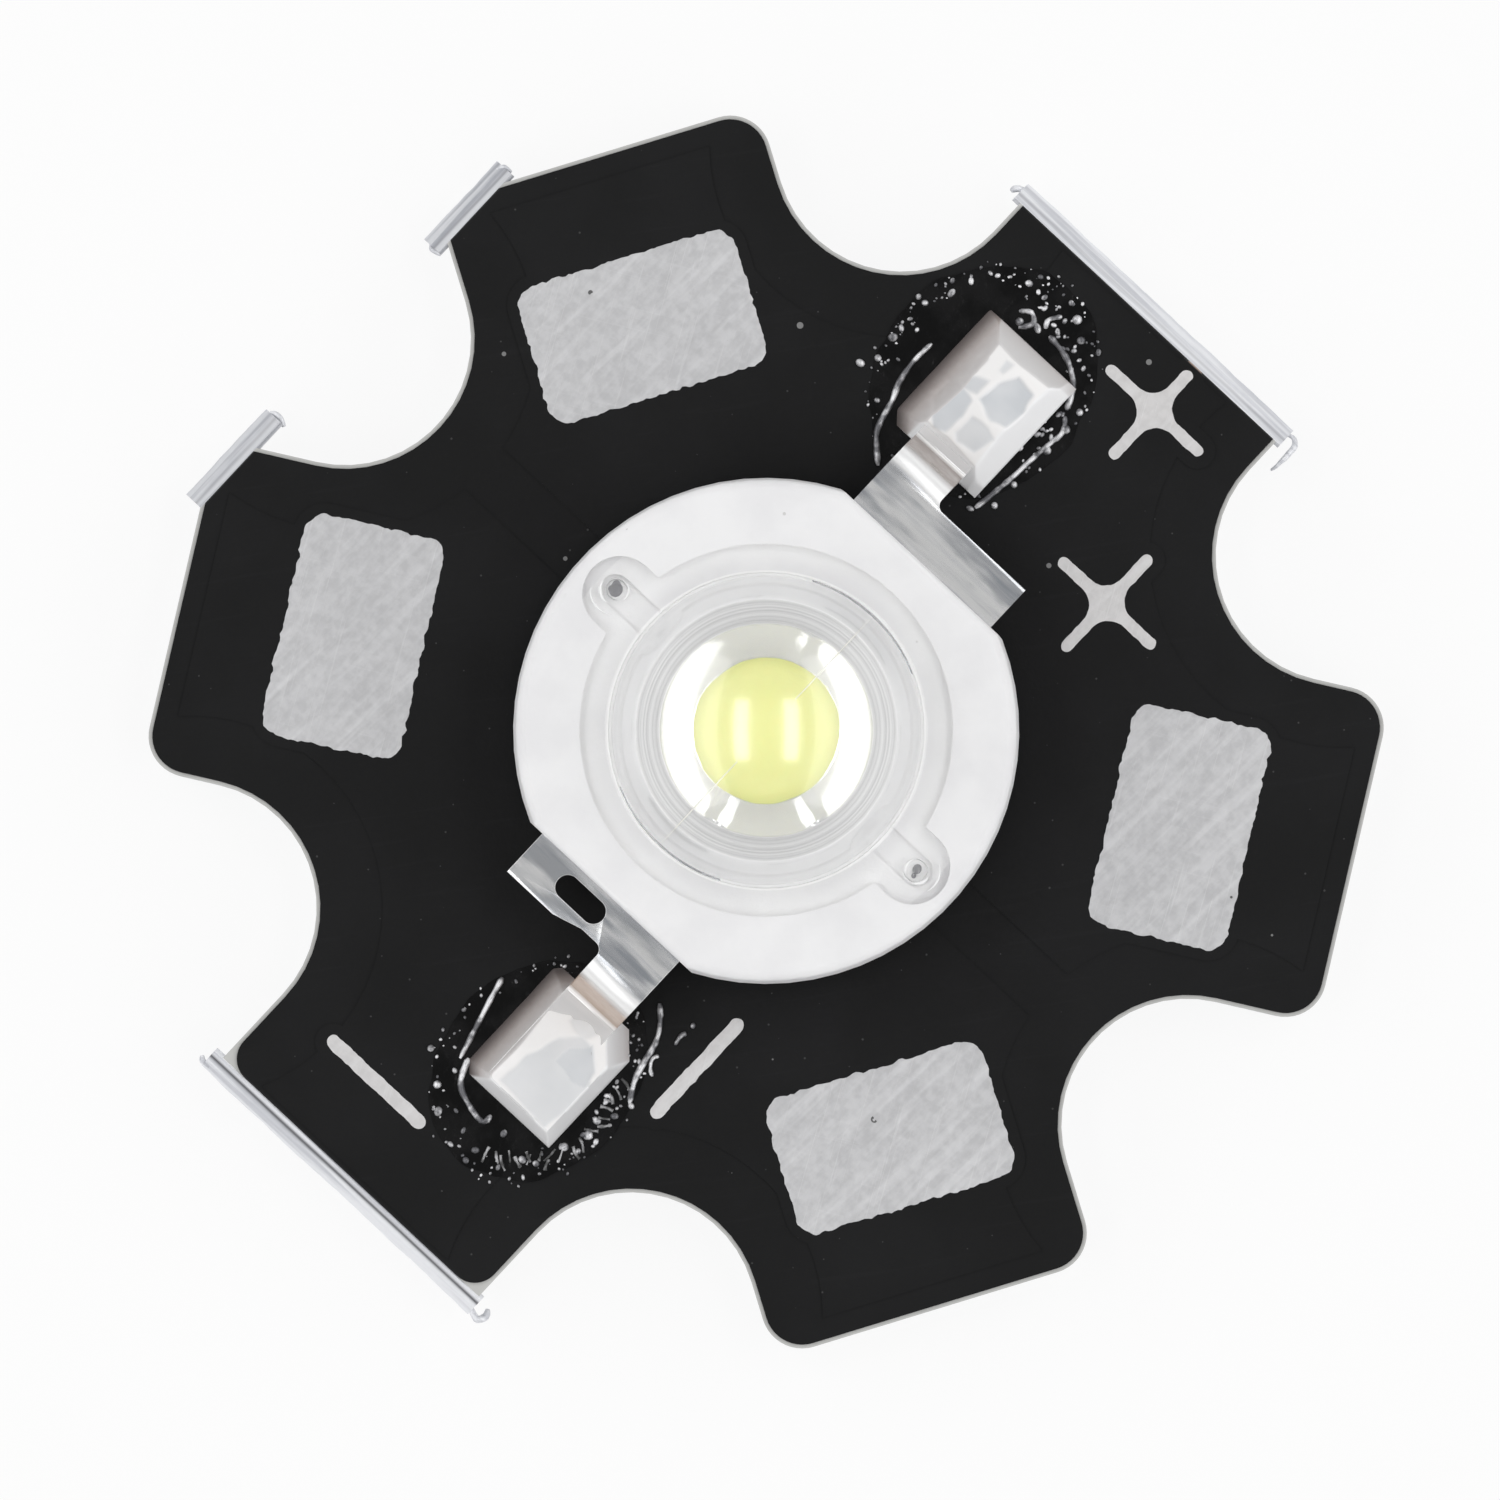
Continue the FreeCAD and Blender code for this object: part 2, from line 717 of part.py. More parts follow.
def phosphor_dab(inner):
    """Phosphor in silicone, domed over the chip in the cup."""
    return dome(phosphor_radius, phosphor_height, cup_floor).cut(inner)


def silicone_fill(inner):
    """Gel that fills the cavity, the lens and the two ports."""
    parts = [cavity(), lens_hollow(), filling_channel(recess_floor - channel_depth, recess_floor)]
    for y in (-port_distance, port_distance):
        parts.append(disc(port_radius, recess_floor, lens_flange_top, vec(0, y)))
    gel = merged(parts)
    dimples = []
    for y in (-port_distance, port_distance):
        dimple = Part.makeCone(0, port_radius / 2, meniscus_depth,
                               vec(0, y, lens_flange_top - meniscus_depth))
        dimples.append(dimple)
    return gel.cut(inner + dimples).removeSplitter()


def build():
    """Every piece of the object by its node name."""
    nodes = {
        "aluminium_base": scored(star_prism(0, base_thickness)),
        "dielectric_layer": scored(star_prism(base_thickness, dielectric_top)),
        "copper_positive": circuit_half(1, dielectric_top, copper_top),
        "copper_negative": circuit_half(-1, dielectric_top, copper_top),
        "copper_thermal_pad": thermal_pad(dielectric_top, copper_top),
        "solder_mask": solder_mask(),
    }
    nodes.update(wire_pads(copper_top, tin_top))
    nodes.update(marks(copper_top, tin_top))
    slug = heat_slug()
    leads = [lead(1), lead(-1)]
    wires = [bond_wire(1), bond_wire(-1)]
    chip = [die_attach(), die()]
    phosphor = phosphor_dab(chip + wires)
    nodes.update({
        "thermal_compound": thermal_compound(),
        "heat_slug": slug,
        "emitter_body": emitter_body(slug, leads),
        "anode_lead": leads[0],
        "cathode_lead": leads[1],
        "solder_joint_anode": solder_joint(1, leads[0]),
        "solder_joint_cathode": solder_joint(-1, leads[1]),
        "die_attach": chip[0],
        "led_die": chip[1],
        "bond_wire_anode": wires[0],
        "bond_wire_cathode": wires[1],
        "phosphor_dab": phosphor,
        "silicone_fill": silicone_fill([slug, phosphor] + chip + wires),
        "lens": lens(),
    })
    return nodes


os.makedirs("parts", exist_ok=True)
for name, shape in build().items():
    print(name, "valid", shape.isValid(), "solids", len(shape.Solids), "volume", round(shape.Volume, 4))
    shape.exportStep("parts/" + name + ".step")
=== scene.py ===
"""Looks of a star-shaped metal-core board that carries one power emitter.

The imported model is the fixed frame. Each sub-assembly is a class that builds the pieces which need a finer
form than the frame has, and dresses them. Meshes are made in millimetres and brought to metres at the end.
"""

from dataclasses import dataclass
from enum import Enum
import logging
import math
import random
from typing import Iterable, Optional, Sequence, Union

import bmesh
import bpy
from mathutils import Matrix, Vector, noise


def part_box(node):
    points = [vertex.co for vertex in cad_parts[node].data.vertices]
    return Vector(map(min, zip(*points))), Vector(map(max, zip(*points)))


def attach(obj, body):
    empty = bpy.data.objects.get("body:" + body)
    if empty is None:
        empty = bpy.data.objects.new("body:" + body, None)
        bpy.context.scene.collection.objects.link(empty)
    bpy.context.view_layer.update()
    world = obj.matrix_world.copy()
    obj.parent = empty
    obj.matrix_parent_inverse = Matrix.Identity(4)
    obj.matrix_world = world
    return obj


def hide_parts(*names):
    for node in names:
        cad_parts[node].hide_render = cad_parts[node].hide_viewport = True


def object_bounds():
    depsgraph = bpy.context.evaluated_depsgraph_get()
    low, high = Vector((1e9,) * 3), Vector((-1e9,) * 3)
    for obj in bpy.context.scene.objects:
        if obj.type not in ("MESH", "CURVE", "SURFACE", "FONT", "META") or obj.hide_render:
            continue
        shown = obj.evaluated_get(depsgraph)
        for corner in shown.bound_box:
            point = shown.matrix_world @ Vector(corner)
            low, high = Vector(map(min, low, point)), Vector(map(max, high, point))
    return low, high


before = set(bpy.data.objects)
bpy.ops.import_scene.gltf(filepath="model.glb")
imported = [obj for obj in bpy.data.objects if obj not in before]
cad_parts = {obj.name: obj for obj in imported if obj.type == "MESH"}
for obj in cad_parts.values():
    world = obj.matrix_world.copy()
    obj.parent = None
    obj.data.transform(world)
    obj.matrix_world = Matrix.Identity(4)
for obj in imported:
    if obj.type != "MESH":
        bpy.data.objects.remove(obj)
cad_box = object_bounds()

MM = 0.001
BODY = "root"
WELD = 1e-4
LOG = logging.getLogger("star_board")

Value = Union[float, "Signal"]
Colour = tuple[float, float, float]
Point = tuple[float, float]
Place = tuple[float, float, float]
Mesh = bmesh.types.BMesh
Material = bpy.types.Material


class Slot(Enum):
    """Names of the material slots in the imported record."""

    ALUMINIUM = "aluminium"
    LACQUER = "solder_mask"
    TIN = "tin"
    SILVER = "silver_plating"
    SOLDER = "solder"
    GOLD = "gold"
    PHOSPHOR = "phosphor"
    CLEAR = "clear_lens"


# Shader arithmetic

class Signal:
    """A node's output with arithmetic: each operator adds one Math node to the finish."""

    def __init__(self, recipe: "Recipe", socket: bpy.types.NodeSocket) -> None:
        """Wrap a socket.

        Args:
            recipe: The finish that the socket belongs to.
            socket: The output to compute with.
        """
        self.recipe = recipe
        self.socket = socket

    def math(self, operation: str, *terms: Value) -> "Signal":
        """Add a Math node that works on this value first and the terms after it."""
        return self.recipe.node("ShaderNodeMath", {"operation": operation}, dict(enumerate((self, *terms))))

    def __add__(self, other: Value) -> "Signal":
        """Sum."""
        return self.math("ADD", other)

    def __mul__(self, other: Value) -> "Signal":
        """Product."""
        return self.math("MULTIPLY", other)

    def __sub__(self, other: Value) -> "Signal":
        """Difference."""
        return self.math("SUBTRACT", other)

    def __rsub__(self, other: float) -> "Signal":
        """Difference from a plain number."""
        return self.recipe.node("ShaderNodeMath", {"operation": "SUBTRACT"}, {0: other, 1: self})

    __radd__ = __add__
    __rmul__ = __mul__

    def above(self, edge: float) -> "Signal":
        """One where this value is over the edge, else nothing."""
        return self.math("GREATER_THAN", edge)

    def ramp(self, low: float, high: float) -> "Signal":
        """Smooth step from nothing to one between two values, of which the first may be the higher."""
        steps = {0: self, 1: low, 2: high, 3: 0.0, 4: 1.0}
        return self.recipe.node("ShaderNodeMapRange", {"interpolation_type": "SMOOTHSTEP"}, steps)


class Recipe:
    """Node tree of one finish, with the textures that the finishes share. Lengths are in millimetres."""

    def __init__(self, name: str, kind: str = "ShaderNodeBsdfPrincipled") -> None:
        """Start an empty finish.

        Args:
            name: Name of the material.
            kind: Type of the main shader node.
        """
        self.material = bpy.data.materials.new(name)
        self.material.use_nodes = True
        self.tree = self.material.node_tree
        self.tree.nodes.clear()
        self.shader = self.tree.nodes.new(kind)
        self.output = self.tree.nodes.new("ShaderNodeOutputMaterial")
        self.tree.links.new(self.shader.outputs[0], self.output.inputs[0])
        metres = self.node("ShaderNodeTexCoord", output="Object")
        self.place = self.node("ShaderNodeVectorMath", {"operation": "SCALE"}, {0: metres, "Scale": 1 / MM})

    def node(self, kind: str, settings: Optional[dict] = None, inputs: Optional[dict] = None,
             output: Union[int, str] = 0) -> Signal:
        """Add a node.

        Args:
            kind: Type name of the node.
            settings: Its properties, set before its sockets.
            inputs: Plain values or signals by socket name or index.
            output: Which output to hand back.

        Returns:
            The chosen output.
        """
        made = self.tree.nodes.new(kind)
        for key, value in (settings or {}).items():
            setattr(made, key, value)
        for key, value in (inputs or {}).items():
            self.feed(made.inputs[key], value)
        return Signal(self, made.outputs[output])

    def feed(self, socket: bpy.types.NodeSocket, value: Union[Value, Sequence[float]]) -> None:
        """Link a signal into a socket, or set its plain value.

        Args:
            socket: The socket to feed.
            value: The signal or plain value.
        """
        if isinstance(value, Signal):
            self.tree.links.new(value.socket, socket)
        else:
            socket.default_value = value

    def set(self, **sockets: Union[Value, Sequence[float]]) -> None:
        """Feed sockets of the main shader, named with underscores for spaces."""
        for key, value in sockets.items():
            self.feed(self.shader.inputs[key.replace("_", " ")], value)

    def axis(self, index: int) -> Signal:
        """Distance along one axis, 0 to 2 for X to Z."""
        return self.node("ShaderNodeSeparateXYZ", inputs={0: self.place}, output=index)

    def radius(self) -> Signal:
        """Distance from the lens's axis."""
        across, along = self.axis(0), self.axis(1)
        return (across * across + along * along).math("SQRT")

    def facing(self, index: int) -> Signal:
        """Component of the surface's own direction along one axis."""
        direction = self.node("ShaderNodeNewGeometry", output="Normal")
        return self.node("ShaderNodeSeparateXYZ", inputs={0: direction}, output=index)

    def attribute(self, name: str) -> Signal:
        """Value that the mesh stores at its points."""
        return self.node("ShaderNodeAttribute", {"attribute_name": name}, output="Fac")

    def noise(self, scale: float, detail: float = 2.0, place: Optional[Signal] = None) -> Signal:
        """Cloudy noise of so many features per millimetre."""
        where = {"Vector": place or self.place, "Scale": scale, "Detail": detail}
        return self.node("ShaderNodeTexNoise", {}, where)

    def streaks(self, scale: Sequence[float], turn: float = 0.0, detail: float = 3.0) -> Signal:
        """Noise that is drawn out along an axis.

        Args:
            scale: Features per millimetre along each axis.
            turn: Turn about Z before that, in degrees.
            detail: How much finer noise it carries.

        Returns:
            The noise.
        """
        turned = self.node("ShaderNodeMapping", {}, {0: self.place, "Rotation": (0, 0, math.radians(turn))})
        drawn = self.node("ShaderNodeVectorMath", {"operation": "MULTIPLY"}, {0: turned, 1: scale})
        return self.noise(1.0, detail, drawn)

    def cells(self, scale: float, output: str = "Distance") -> Signal:
        """Flat cell pattern of so many cells per millimetre, seen from above."""
        where = {"Vector": self.place, "Scale": scale}
        return self.node("ShaderNodeTexVoronoi", {"voronoi_dimensions": "2D"}, where, output)

    def specks(self, spacing: float, radius: float, share: float) -> Signal:
        """Round specks on level faces.

        Args:
            spacing: Mean distance between places that may hold a speck.
            radius: Largest radius of a speck.
            share: Share of the places that hold one.

        Returns:
            One on the specks, else nothing.
        """
        distance = self.cells(1 / spacing)
        lot = self.node("ShaderNodeSeparateColor", inputs={0: self.cells(1 / spacing, "Color")})
        steps = {0: lot, 1: 1 - share, 2: 1.0, 3: 0.0, 4: radius / spacing}
        size = self.node("ShaderNodeMapRange", {}, steps)
        dots = self.node("ShaderNodeMath", {"operation": "LESS_THAN"}, {0: distance, 1: size})
        return dots * self.facing(2).above(0.9)

    def mix(self, share: Value, low: Union[Colour, Signal], high: Union[Colour, Signal]) -> Signal:
        """Blend two colours by a share from nothing to one."""
        ends = [c if isinstance(c, Signal) else (*c, 1.0) for c in (low, high)]
        return self.node("ShaderNodeMix", {"data_type": "RGBA"}, {0: share, 6: ends[0], 7: ends[1]}, 2)

    def bump(self, height: Signal, depth: float) -> None:
        """Let a height pattern of the given depth shape the main shader's normal."""
        self.set(Normal=self.node("ShaderNodeBump", {}, {"Height": height, "Distance": depth * MM}))


# Finishes

@dataclass(frozen=True)
class Finish:
    """Kind of procedural finish."""

    name: str

    def make(self) -> Material:
        """Build the material.

        Returns:
            The material.
        """
        r = Recipe(self.name)
        self.mix(r)
        return r.material

    def mix(self, r: Recipe) -> None:
        """Feed the recipe's shader."""
        raise NotImplementedError


@dataclass(frozen=True)
class Lacquer(Finish):
    """Matte black solder mask with dust specks and faint wiping marks."""

    name: str = "matte_black_lacquer"
    deep: Colour = (0.0060, 0.0061, 0.0064)
    worn: Colour = (0.0100, 0.0101, 0.0108)
    speck: Colour = (0.28, 0.28, 0.28)

    def mix(self, r: Recipe) -> None:
        """Feed the recipe's shader.

        Args:
            r: The recipe.
        """
        cloud = r.noise(0.45, 4.0)
        wipe = r.streaks((0.5, 9.0, 1.0), 38.0).ramp(0.60, 0.72)
        colour = r.mix(cloud.ramp(0.35, 0.7) * 0.7 + wipe * 0.3, self.deep, self.worn)
        dust = r.specks(1.7, 0.055, 0.26)
        grit = r.specks(0.42, 0.018, 0.22)
        colour = r.mix(dust * 0.70 + grit * 0.14, colour, self.speck)
        fine = r.noise(16.0, 3.0)
        r.set(Base_Color=colour, Roughness=cloud * 0.12 + fine * 0.10 + 0.44, Specular_IOR_Level=0.14)
        r.bump(fine + dust * 2.0 + r.noise(3.5) * 1.5, 0.0035)


@dataclass(frozen=True)
class Tin(Finish):
    """Dull tin finish on the pads and marks, drawn in one direction and finely scratched."""

    name: str = "dull_tin"
    bright: Colour = (0.62, 0.62, 0.63)
    dull: Colour = (0.45, 0.45, 0.46)
    worn: Colour = (0.74, 0.74, 0.75)
    pit: Colour = (0.12, 0.12, 0.12)

    def mix(self, r: Recipe) -> None:
        """Feed the recipe's shader.

        Args:
            r: The recipe.
        """
        drawn = r.streaks((0.9, 22.0, 1.0), detail=4.0)
        patches = r.noise(1.4, 3.0)
        scratch = r.streaks((0.5, 30.0, 1.0), -27.0, 2.0).ramp(0.62, 0.68)
        cross = r.streaks((0.6, 34.0, 1.0), 61.0, 2.0).ramp(0.64, 0.70)
        pits = r.specks(1.1, 0.060, 0.26) * r.noise(9.0).above(0.45)
        strokes = r.streaks((0.42, 6.0, 1.0), 4.0, 2.0).ramp(0.50, 0.74)
        mottle = r.noise(7.0, 3.0)
        tone = drawn * 0.5 + patches * 0.4 + mottle.ramp(0.3, 0.7) * 0.45 - 0.18
        colour = r.mix(tone, self.dull, self.bright)
        colour = r.mix(scratch * 0.18 + cross * 0.10 + strokes * 0.34, colour, self.worn)
        colour = r.mix(pits, colour, self.pit)
        r.set(Base_Color=colour, Metallic=0.55, Roughness=drawn * 0.18 + 0.42)
        r.bump(drawn + scratch * 0.4 + mottle - pits * 1.5, 0.0035)


@dataclass(frozen=True)
class Silver(Finish):
    """Bright plating with streaks along the bend, painted shade on its level faces for their dark
    reflection, and a brown flux film low on the bent part.
    """

    name: str = "silver_plate"
    plate: Colour = (0.92, 0.92, 0.92)
    # Painted shade: colour of the level faces where they reflect the dark above
    shade: Colour = (0.36, 0.38, 0.41)
    film: Colour = (0.20, 0.145, 0.115)
    wet: Colour = (0.84, 0.83, 0.83)
    roughness: float = 0.24
    film_top: float = 3.38
    film_foot: float = 2.12
    film_share: float = 0.78

    def mix(self, r: Recipe) -> None:
        """Feed the recipe's shader.

        Args:
            r: The recipe.
        """
        broad = r.streaks((2.6, 0.55, 1.0))
        grain = r.streaks((10.0, 0.6, 1.0))
        level = r.facing(2).ramp(0.93, 0.995)
        # Painted shade in streaks on level faces only, standing in for their dark reflection; the rounded
        # edges keep the bright plate
        painted_shade = (broad.ramp(0.38, 0.60) * 0.75 + grain.ramp(0.45, 0.75) * 0.35) * level
        height = r.axis(2)
        low = height.ramp(self.film_top, self.film_top - 0.30)
        low *= height.ramp(self.film_foot, self.film_foot + 0.15)
        stain = low * (r.noise(2.6, 2.0).ramp(0.25, 0.60) * 0.10 + self.film_share)
        wetted = height.ramp(self.film_foot + 0.12, self.film_foot) * level
        colour = r.mix(painted_shade, self.plate, self.shade)
        colour = r.mix(wetted, r.mix(stain, colour, self.film), self.wet)
        r.set(Base_Color=colour, Metallic=level * (1.0 - wetted) * 0.57 + 0.35,
              Roughness=grain * 0.10 + (self.roughness - 0.05))
        r.bump(grain + broad * 2.0, 0.0012)


@dataclass(frozen=True)
class CupPlate(Finish):
    """Plating of the slug: bright in its cup, matt on the rim round the cup."""

    name: str = "slug_plate"
    plate: Colour = (0.97, 0.97, 0.96)
    shade: Colour = (0.91, 0.91, 0.91)
    rim: Colour = (0.46, 0.46, 0.465)
    wall: Colour = (0.96, 0.96, 0.965)
    cup_rim: float = 1.17
    pedestal: float = 1.50
    step: float = 2.90
    bright: float = 0.14
    matt: float = 0.45

    def mix(self, r: Recipe) -> None:
        """Feed the recipe's shader.

        Args:
            r: The recipe.
        """
        patches = r.noise(1.6, 3.0)
        grain = r.noise(24.0, 3.0)
        radius = r.radius()
        outside = radius.ramp(self.cup_rim - 0.02, self.cup_rim + 0.03)
        turned = r.noise(1.0, 3.0, r.node("ShaderNodeCombineXYZ", {}, {0: radius * 26.0})).ramp(0.35, 0.65)
        moat = radius.ramp(self.pedestal - 0.03, self.pedestal - 0.005)
        moat *= r.axis(2).ramp(self.step - 0.1, self.step)
        rough = outside * (self.matt - self.bright) + self.bright
        colour = r.mix(patches.ramp(0.3, 0.7), self.shade, self.plate)
        colour = r.mix(outside * (turned * 0.45 + 0.55), colour, self.rim)
        colour = r.mix(moat, colour, self.wall)
        r.set(Base_Color=colour, Metallic=0.76 - moat * 0.66, Roughness=rough + grain * 0.06)
        r.bump(grain * 0.3 + patches * 0.6 + turned * outside * 1.5, 0.0012)


@dataclass(frozen=True)
class Solder(Finish):
    """Reflowed solder: a white crown painted lighter than its darker flanks, with grey cells sunk in it,
    painted light on faces towards -Y and -X, and flux colour as painted shade on the flank towards +Y.
    """

    name: str = "reflowed_solder"
    # Flank colour, darker than the crown's: painted shade
    pale: Colour = (0.68, 0.67, 0.67)
    cell: Colour = (0.57, 0.59, 0.615)
    # Painted light: colour of faces towards -Y and -X
    painted_light: Colour = (0.93, 0.93, 0.94)
    # Painted light: colour of the level crown
    crown: Colour = (0.88, 0.87, 0.865)
    # Painted shade: darkest colour, low on the flank towards +Y
    painted_foot_shade: Colour = (0.075, 0.062, 0.060)
    flux: Colour = (0.42, 0.36, 0.34)

    def mix(self, r: Recipe) -> None:
        """Feed the recipe's shader.

        Args:
            r: The recipe.
        """
        cloud = r.noise(1.5, 2.0)
        fine = r.noise(9.0, 2.0)
        level = r.facing(2).ramp(0.88, 0.975)
        cell = r.attribute("cell") * level
        sideways = r.facing(1)
        # Painted shade on the flank that faces +Y
        painted_shade = sideways.ramp(0.10, 0.55)
        # Painted light on faces towards -Y and -X
        painted_light = sideways.ramp(-0.10, -0.45).math("MAXIMUM", r.facing(0).ramp(-0.30, -0.60))
        height = r.axis(2)
        low = 1.0 - height.ramp(1.62, 1.80)
        climb = 1.0 - height.ramp(1.75, 2.25) * 0.75
        # Level faces take the crown colour and the flanks the darker one: painted light and shade
        colour = r.mix(level, self.pale, self.crown)
        colour = r.mix(painted_light, colour, self.painted_light)
        # Flux colour: painted shade on the +Y flank, and flux low down and on low faces towards +X
        ahead = r.facing(0).ramp(0.30, 0.60) * height.ramp(2.18, 1.70)
        colour = r.mix(painted_shade * climb * (fine * 0.4 + 0.65) + low * 0.20 + ahead * 0.45, colour, self.flux)
        # Painted shade: darkest low on the flank towards +Y
        colour = r.mix(painted_shade * height.ramp(1.98, 1.66) * 0.85, colour, self.painted_foot_shade)
        colour = r.mix(cell * (cloud.ramp(0.25, 0.70) * 0.25 + 0.80), colour, self.cell)
        r.set(Base_Color=colour, Metallic=cell * 0.14 + 0.14, Roughness=cloud * 0.10 + fine * 0.05 + 0.38)
        r.bump(cloud * 2.0 + fine * 0.3, 0.0035)


@dataclass(frozen=True)
class FluxResin(Finish):
    """Glossy dark flux residue on the lacquer round a solder joint."""

    name: str = "flux_resin"
    body: Colour = (0.0016, 0.0016, 0.0017)
    thin: Colour = (0.0058, 0.0057, 0.0060)

    def mix(self, r: Recipe) -> None:
        """Feed the recipe's shader.

        Args:
            r: The recipe.
        """
        swirl = r.noise(1.8, 4.0)
        r.set(Base_Color=r.mix(swirl.ramp(0.4, 0.62), self.body, self.thin), Roughness=swirl * 0.12 + 0.12,
              Specular_IOR_Level=0.20)
        r.bump(swirl * 2.0 + r.noise(7.0) * 0.7, 0.012)


@dataclass(frozen=True)
class SpatterMetal(Finish):
    """Tiny beads and threads of solder caught in the flux."""

    name: str = "spatter_metal"
    bright: Colour = (0.80, 0.80, 0.82)
    dull: Colour = (0.13, 0.13, 0.14)

    def mix(self, r: Recipe) -> None:
        """Feed the recipe's shader.

        Args:
            r: The recipe.
        """
        tone = r.noise(4.5, 3.0)
        r.set(Base_Color=r.mix(tone.ramp(0.40, 0.64), self.dull, self.bright), Metallic=0.60,
              Roughness=tone * 0.2 + 0.26)
        r.bump(r.noise(12.0), 0.004)


@dataclass(frozen=True)
class Moulding(Finish):
    """Satin white heat-proof plastic with faint flow marks and grey dust, painted lighter in the lens seat
    and the cavity where the lens and rim throw shade.
    """

    name: str = "white_moulding"
    white: Colour = (0.85, 0.848, 0.855)
    shade: Colour = (0.795, 0.792, 0.803)
    soil: Colour = (0.50, 0.49, 0.48)
    # Painted light: whiter colour for the seat and cavity under the lens, where shade falls
    painted_recess_light: Colour = (0.97, 0.97, 0.97)
    seat: float = 2.96
    cavity: float = 2.49
    edge: float = 3.58
    rim: float = 4.74

    def mix(self, r: Recipe) -> None:
        """Feed the recipe's shader.

        Args:
            r: The recipe.
        """
        flow = r.streaks((0.8, 0.8, 1.6), 30.0, 4.0)
        fine = r.noise(18.0, 3.0)
        colour = r.mix(flow.ramp(0.35, 0.68), self.white, self.shade)
        colour = r.mix(r.specks(0.9, 0.028, 0.22) * 0.6, colour, self.soil)
        radius = r.radius()
        # Painted light in the seat below the rim and in the cavity, undoing the shade under the lens
        inside = radius.ramp(self.seat - 0.40, self.seat - 0.06) * radius.ramp(self.edge, self.edge - 0.04)
        sunk = r.axis(2).ramp(self.rim, self.rim - 0.03)
        cavity = radius.ramp(self.cavity + 0.03, self.cavity)
        colour = r.mix((inside * sunk * 0.55).math("MAXIMUM", cavity), colour, self.painted_recess_light)
        r.set(Base_Color=colour, Roughness=flow * 0.10 + fine * 0.06 + 0.36, Specular_IOR_Level=0.42)
        r.bump(fine + flow * 5.0, 0.0030)


@dataclass(frozen=True)
class ClearDome(Finish):
    """Clear moulded lens over its gel, with hair marks of handling."""

    name: str = "clear_dome"
    tint: Colour = (0.99, 0.99, 0.99)
    index: float = 1.44
    daylight: float = 0.86
    skin_index: float = 2.2
    skin_roughness: float = 0.20
    skin_start: float = 4.85

    def mix(self, r: Recipe) -> None:
        """Feed the recipe's shader.

        Args:
            r: The recipe.
        """
        haze = r.noise(1.1, 3.0)
        hair = r.streaks((0.7, 26.0, 0.7), 70.0, 2.0).ramp(0.70, 0.74)
        r.set(Base_Color=(*self.tint, 1.0), IOR=self.index, Transmission_Weight=1.0,
              Roughness=haze.ramp(0.45, 0.8) * 0.012 + hair * 0.05,
              Coat_Weight=r.axis(2).ramp(self.skin_start, self.skin_start + 0.3), Coat_IOR=self.skin_index,
              Coat_Roughness=self.skin_roughness)
        r.bump(haze * 3.0 + hair * 0.3, 0.0010)
        passed = r.node("ShaderNodeBsdfTransparent", {}, {"Color": (*(self.daylight,) * 3, 1.0)})
        shade = r.node("ShaderNodeLightPath", output="Is Shadow Ray")
        whole = r.node("ShaderNodeMixShader", {}, {0: shade, 1: Signal(r, r.shader.outputs[0]), 2: passed})
        r.tree.links.new(whole.socket, r.output.inputs[0])


@dataclass(frozen=True)
class PhosphorGel(Finish):
    """Lemon phosphor set in silicone, a little grainy, with a glow that is partly its real fluorescence and
    mostly painted light that evens its shading.
    """

    name: str = "phosphor_gel"
    lemon: Colour = (0.56, 0.57, 0.19)
    pale: Colour = (0.60, 0.61, 0.24)
    thin: Colour = (0.62, 0.63, 0.36)
    # Glow colour: painted light, partly the phosphor's real fluorescence
    painted_light: Colour = (0.92, 0.93, 0.38)
    edge: float = 0.72
    # Strength of the painted glow
    glow: float = 0.41

    def mix(self, r: Recipe) -> None:
        """Feed the recipe's shader.

        Args:
            r: The recipe.
        """
        grain = r.noise(22.0, 3.0)
        cloud = r.noise(2.2, 2.0)
        colour = r.mix(grain * 0.4 + cloud * 0.6, self.lemon, self.pale)
        colour = r.mix(r.radius().ramp(self.edge - 0.30, self.edge) * 0.22, colour, self.thin)
        r.set(Base_Color=colour, Roughness=grain * 0.1 + 0.45, Specular_IOR_Level=0.15,
              Subsurface_Weight=0.25, Subsurface_Scale=0.1 * MM, Emission_Color=(*self.painted_light, 1.0),
              Emission_Strength=self.glow)
        r.bump(grain, 0.004)


